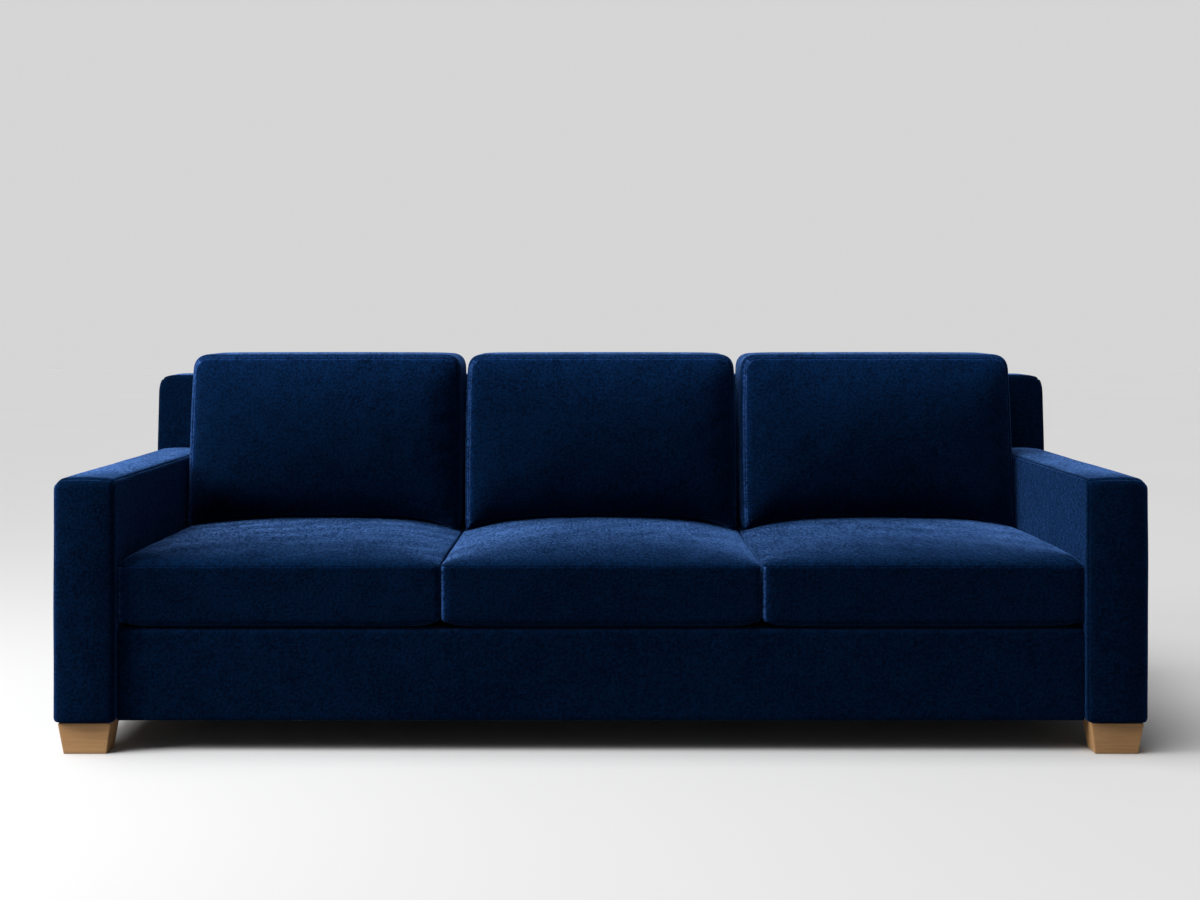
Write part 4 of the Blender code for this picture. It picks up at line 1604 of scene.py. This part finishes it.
@dataclass
class InnerFrame:
    """The pieces of the frame whose own shape is right: boards, springs, bolts, legs and zip sliders."""

    finishes: Finishes

    def dress(self) -> int:
        """Gives each piece that still shows its finish.

        Returns:
            Number of pieces dressed.
        """
        shown = [(name, node) for name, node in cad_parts.items() if not node.hide_render]
        for name, node in shown:
            node.data.materials.clear()
            node.data.materials.append(self.finish_of(name))
        return len(shown)

    def finish_of(self, name: str) -> bpy.types.Material:
        """Picks the finish of a piece by its name.

        Args:
            name: Name of the node.

        Returns:
            Its material.
        """
        if name.endswith("zip_slider"):
            return self.finishes.zip_metal
        if name.endswith(("bolt", "springs")):
            return self.finishes.steel
        if name.endswith("support_leg"):
            return self.finishes.lining
        longest = int(np.argmax(Extent.of(name).size))
        return self.finishes.timber[Grain(longest)]


@dataclass
class Studio:
    """A pale floor, soft light from above and the left, and the camera.

    Attributes:
        floor_tone: Grey of the floor as the camera sees it.
        floor_bounce: Grey of the floor for the light that it throws back on the sofa.
        air_tone: Grey of the air as the camera sees it.
        air_light: Strength of the air's light.
        key_from: Place of the key light.
        key_light: Strength of the key light.
        key_spread_deg: Width of the key light as seen from the sofa.
        side_from: Place of the lamp at the left.
        side_power: Its power in watts.
        side_size: Width of its square.
        eye: Place of the camera, which looks level along +Y.
        lens: Focal length in millimetres.
        drop: Shift of the frame below the level line, as a share of its width.
        aside: Shift of the frame to the side.
    """

    floor_tone: float = 0.725
    floor_bounce: float = 0.15
    air_tone: float = 0.668
    air_light: float = 0.08
    key_from: tuple[float, float, float] = (-1.60, -0.52, 4.0)
    key_light: float = 2.75
    key_spread_deg: float = 50.0
    side_from: tuple[float, float, float] = (-3.5, -1.5, 2.2)
    side_power: float = 90.0
    side_size: float = 1.4
    eye: tuple[float, float, float] = (0.0, -4.153, 0.9634)
    lens: float = 49.2
    drop: float = -0.1067
    aside: float = -0.0007

    SEEN_WAYS = ("Camera", "Glossy", "Transmission")
    WHITE = (1.0, 1.0, 1.0)
    FLOOR_REACH = 30.0
    FLOOR_CLOUDS = Layer(0.7, 2.0)
    FLOOR_PALER = 1.04  # tone of the palest clouds, for a tone of 1

    def build(self) -> None:
        """Makes the floor, the air, the lamps and the camera."""
        self.build_floor()
        self.build_air()
        key = self.hang("Key", "SUN", self.key_from, self.key_light)
        key.data.angle = math.radians(self.key_spread_deg)
        side = self.hang("Side", "AREA", self.side_from, self.side_power)
        side.data.size = self.side_size
        side.visible_camera = False
        self.build_camera()
        bpy.context.scene.view_settings.view_transform = "Standard"

    def seen(self, bench: Bench) -> Field:
        """1 for the rays that look at a thing, and 0 for those that carry its light elsewhere."""
        first, *others = [bench.add("ShaderNodeLightPath", output=f"Is {way} Ray") for way in self.SEEN_WAYS]
        for other in others:
            first = bench.math("MAXIMUM", first, other)
        return first

    def build_floor(self) -> None:
        """Lays a wide pale floor under the feet, which throws little light back on the sofa."""
        bench = Bench(bpy.data.materials.new("pale_floor"))
        grey, paler, bounce = (
            (tone,) * 3 for tone in (self.floor_tone, self.floor_tone * self.FLOOR_PALER, self.floor_bounce)
        )
        pale = bench.mix((0.5 + bench.noise(self.FLOOR_CLOUDS)).clamped(), grey, paler)
        colour = bench.mix(self.seen(bench), bounce, pale)
        material = bench.finish({"Roughness": 0.8, "Specular IOR Level": 0.2, "Base Color": colour})
        corners = np.array(((-1, -1, 0), (1, -1, 0), (1, 1, 0), (-1, 1, 0)))
        mesh_piece("floor", self.FLOOR_REACH * corners, np.array(((0, 1, 2, 3),)), material)

    def build_air(self) -> None:
        """Lights the scene softly from all round, and shows a plain pale ground to the camera."""
        world = bpy.data.worlds.new("air")
        bpy.context.scene.world = world
        bench = Bench(world)
        light, ground = (
            bench.add("ShaderNodeBackground", inputs={"Color": self.WHITE, "Strength": strength})
            for strength in (self.air_light, self.air_tone)
        )
        bench.blend(self.seen(bench), light, ground)

    @staticmethod
    def hang(name: str, kind: str, place: Sequence[float], strength: float) -> bpy.types.Object:
        """Hangs a lamp and turns it towards the floor under the middle of the sofa.

        Args:
            name: Name of the lamp.
            kind: Blender's type of it.
            place: Where it hangs.
            strength: Watts, or watts to the square metre for a sun.

        Returns:
            The lamp.
        """
        lamp = bpy.data.lights.new(name, kind)
        lamp.energy = strength
        item = bpy.data.objects.new(name, lamp)
        x, y, z = place
        item.location = place
        item.rotation_euler = (math.atan2(math.hypot(x, y), z), 0.0, math.atan2(x, -y))
        bpy.context.scene.collection.objects.link(item)
        return item

    def build_camera(self) -> None:
        """Sets the camera where the photograph was taken from: level, with the frame shifted down."""
        data = bpy.data.cameras.new("camera")
        data.lens = self.lens
        data.shift_x = self.aside
        data.shift_y = self.drop
        camera = bpy.data.objects.new("camera", data)
        camera.location = self.eye
        camera.rotation_euler = (math.pi / 2, 0.0, 0.0)
        bpy.context.scene.collection.objects.link(camera)
        bpy.context.scene.camera = camera


def main() -> None:
    """Builds the sofa's pieces in order, then the studio."""
    logging.basicConfig(level=logging.INFO, format="%(name)s: %(message)s")
    finishes = Finishes.make()
    pieces: list[Piece] = [Arm(finishes, side) for side in Side]
    pieces += [Back(finishes), OutsideBack(finishes), FrontApron(finishes)]
    pieces += [kind(finishes, seat) for kind in (SeatCushion, BackCushion) for seat in Seat]
    pieces += [Foot(finishes, f"{end}_{side.word}") for end in ("front", "rear") for side in Side]
    deck = {"sag": 0.0015, "thick": 0.0012, "cloth": finishes.deck}
    underside = {"sag": 0.0, "thick": 0.0008, "cloth": finishes.lining}
    pieces.append(StretchedCloth(finishes, "seat_deck", "seat_deck_cloth", **deck))
    pieces.append(StretchedCloth(finishes, "underside_cloth", "dust_cover", **underside))
    for piece in pieces:
        item = piece.build()
        LOG.info("%s: %d faces", item.name, len(item.data.polygons))
    LOG.info("dressed %d pieces of the frame", InnerFrame(finishes).dress())
    Studio().build()


if __name__ == "__main__":
    main()
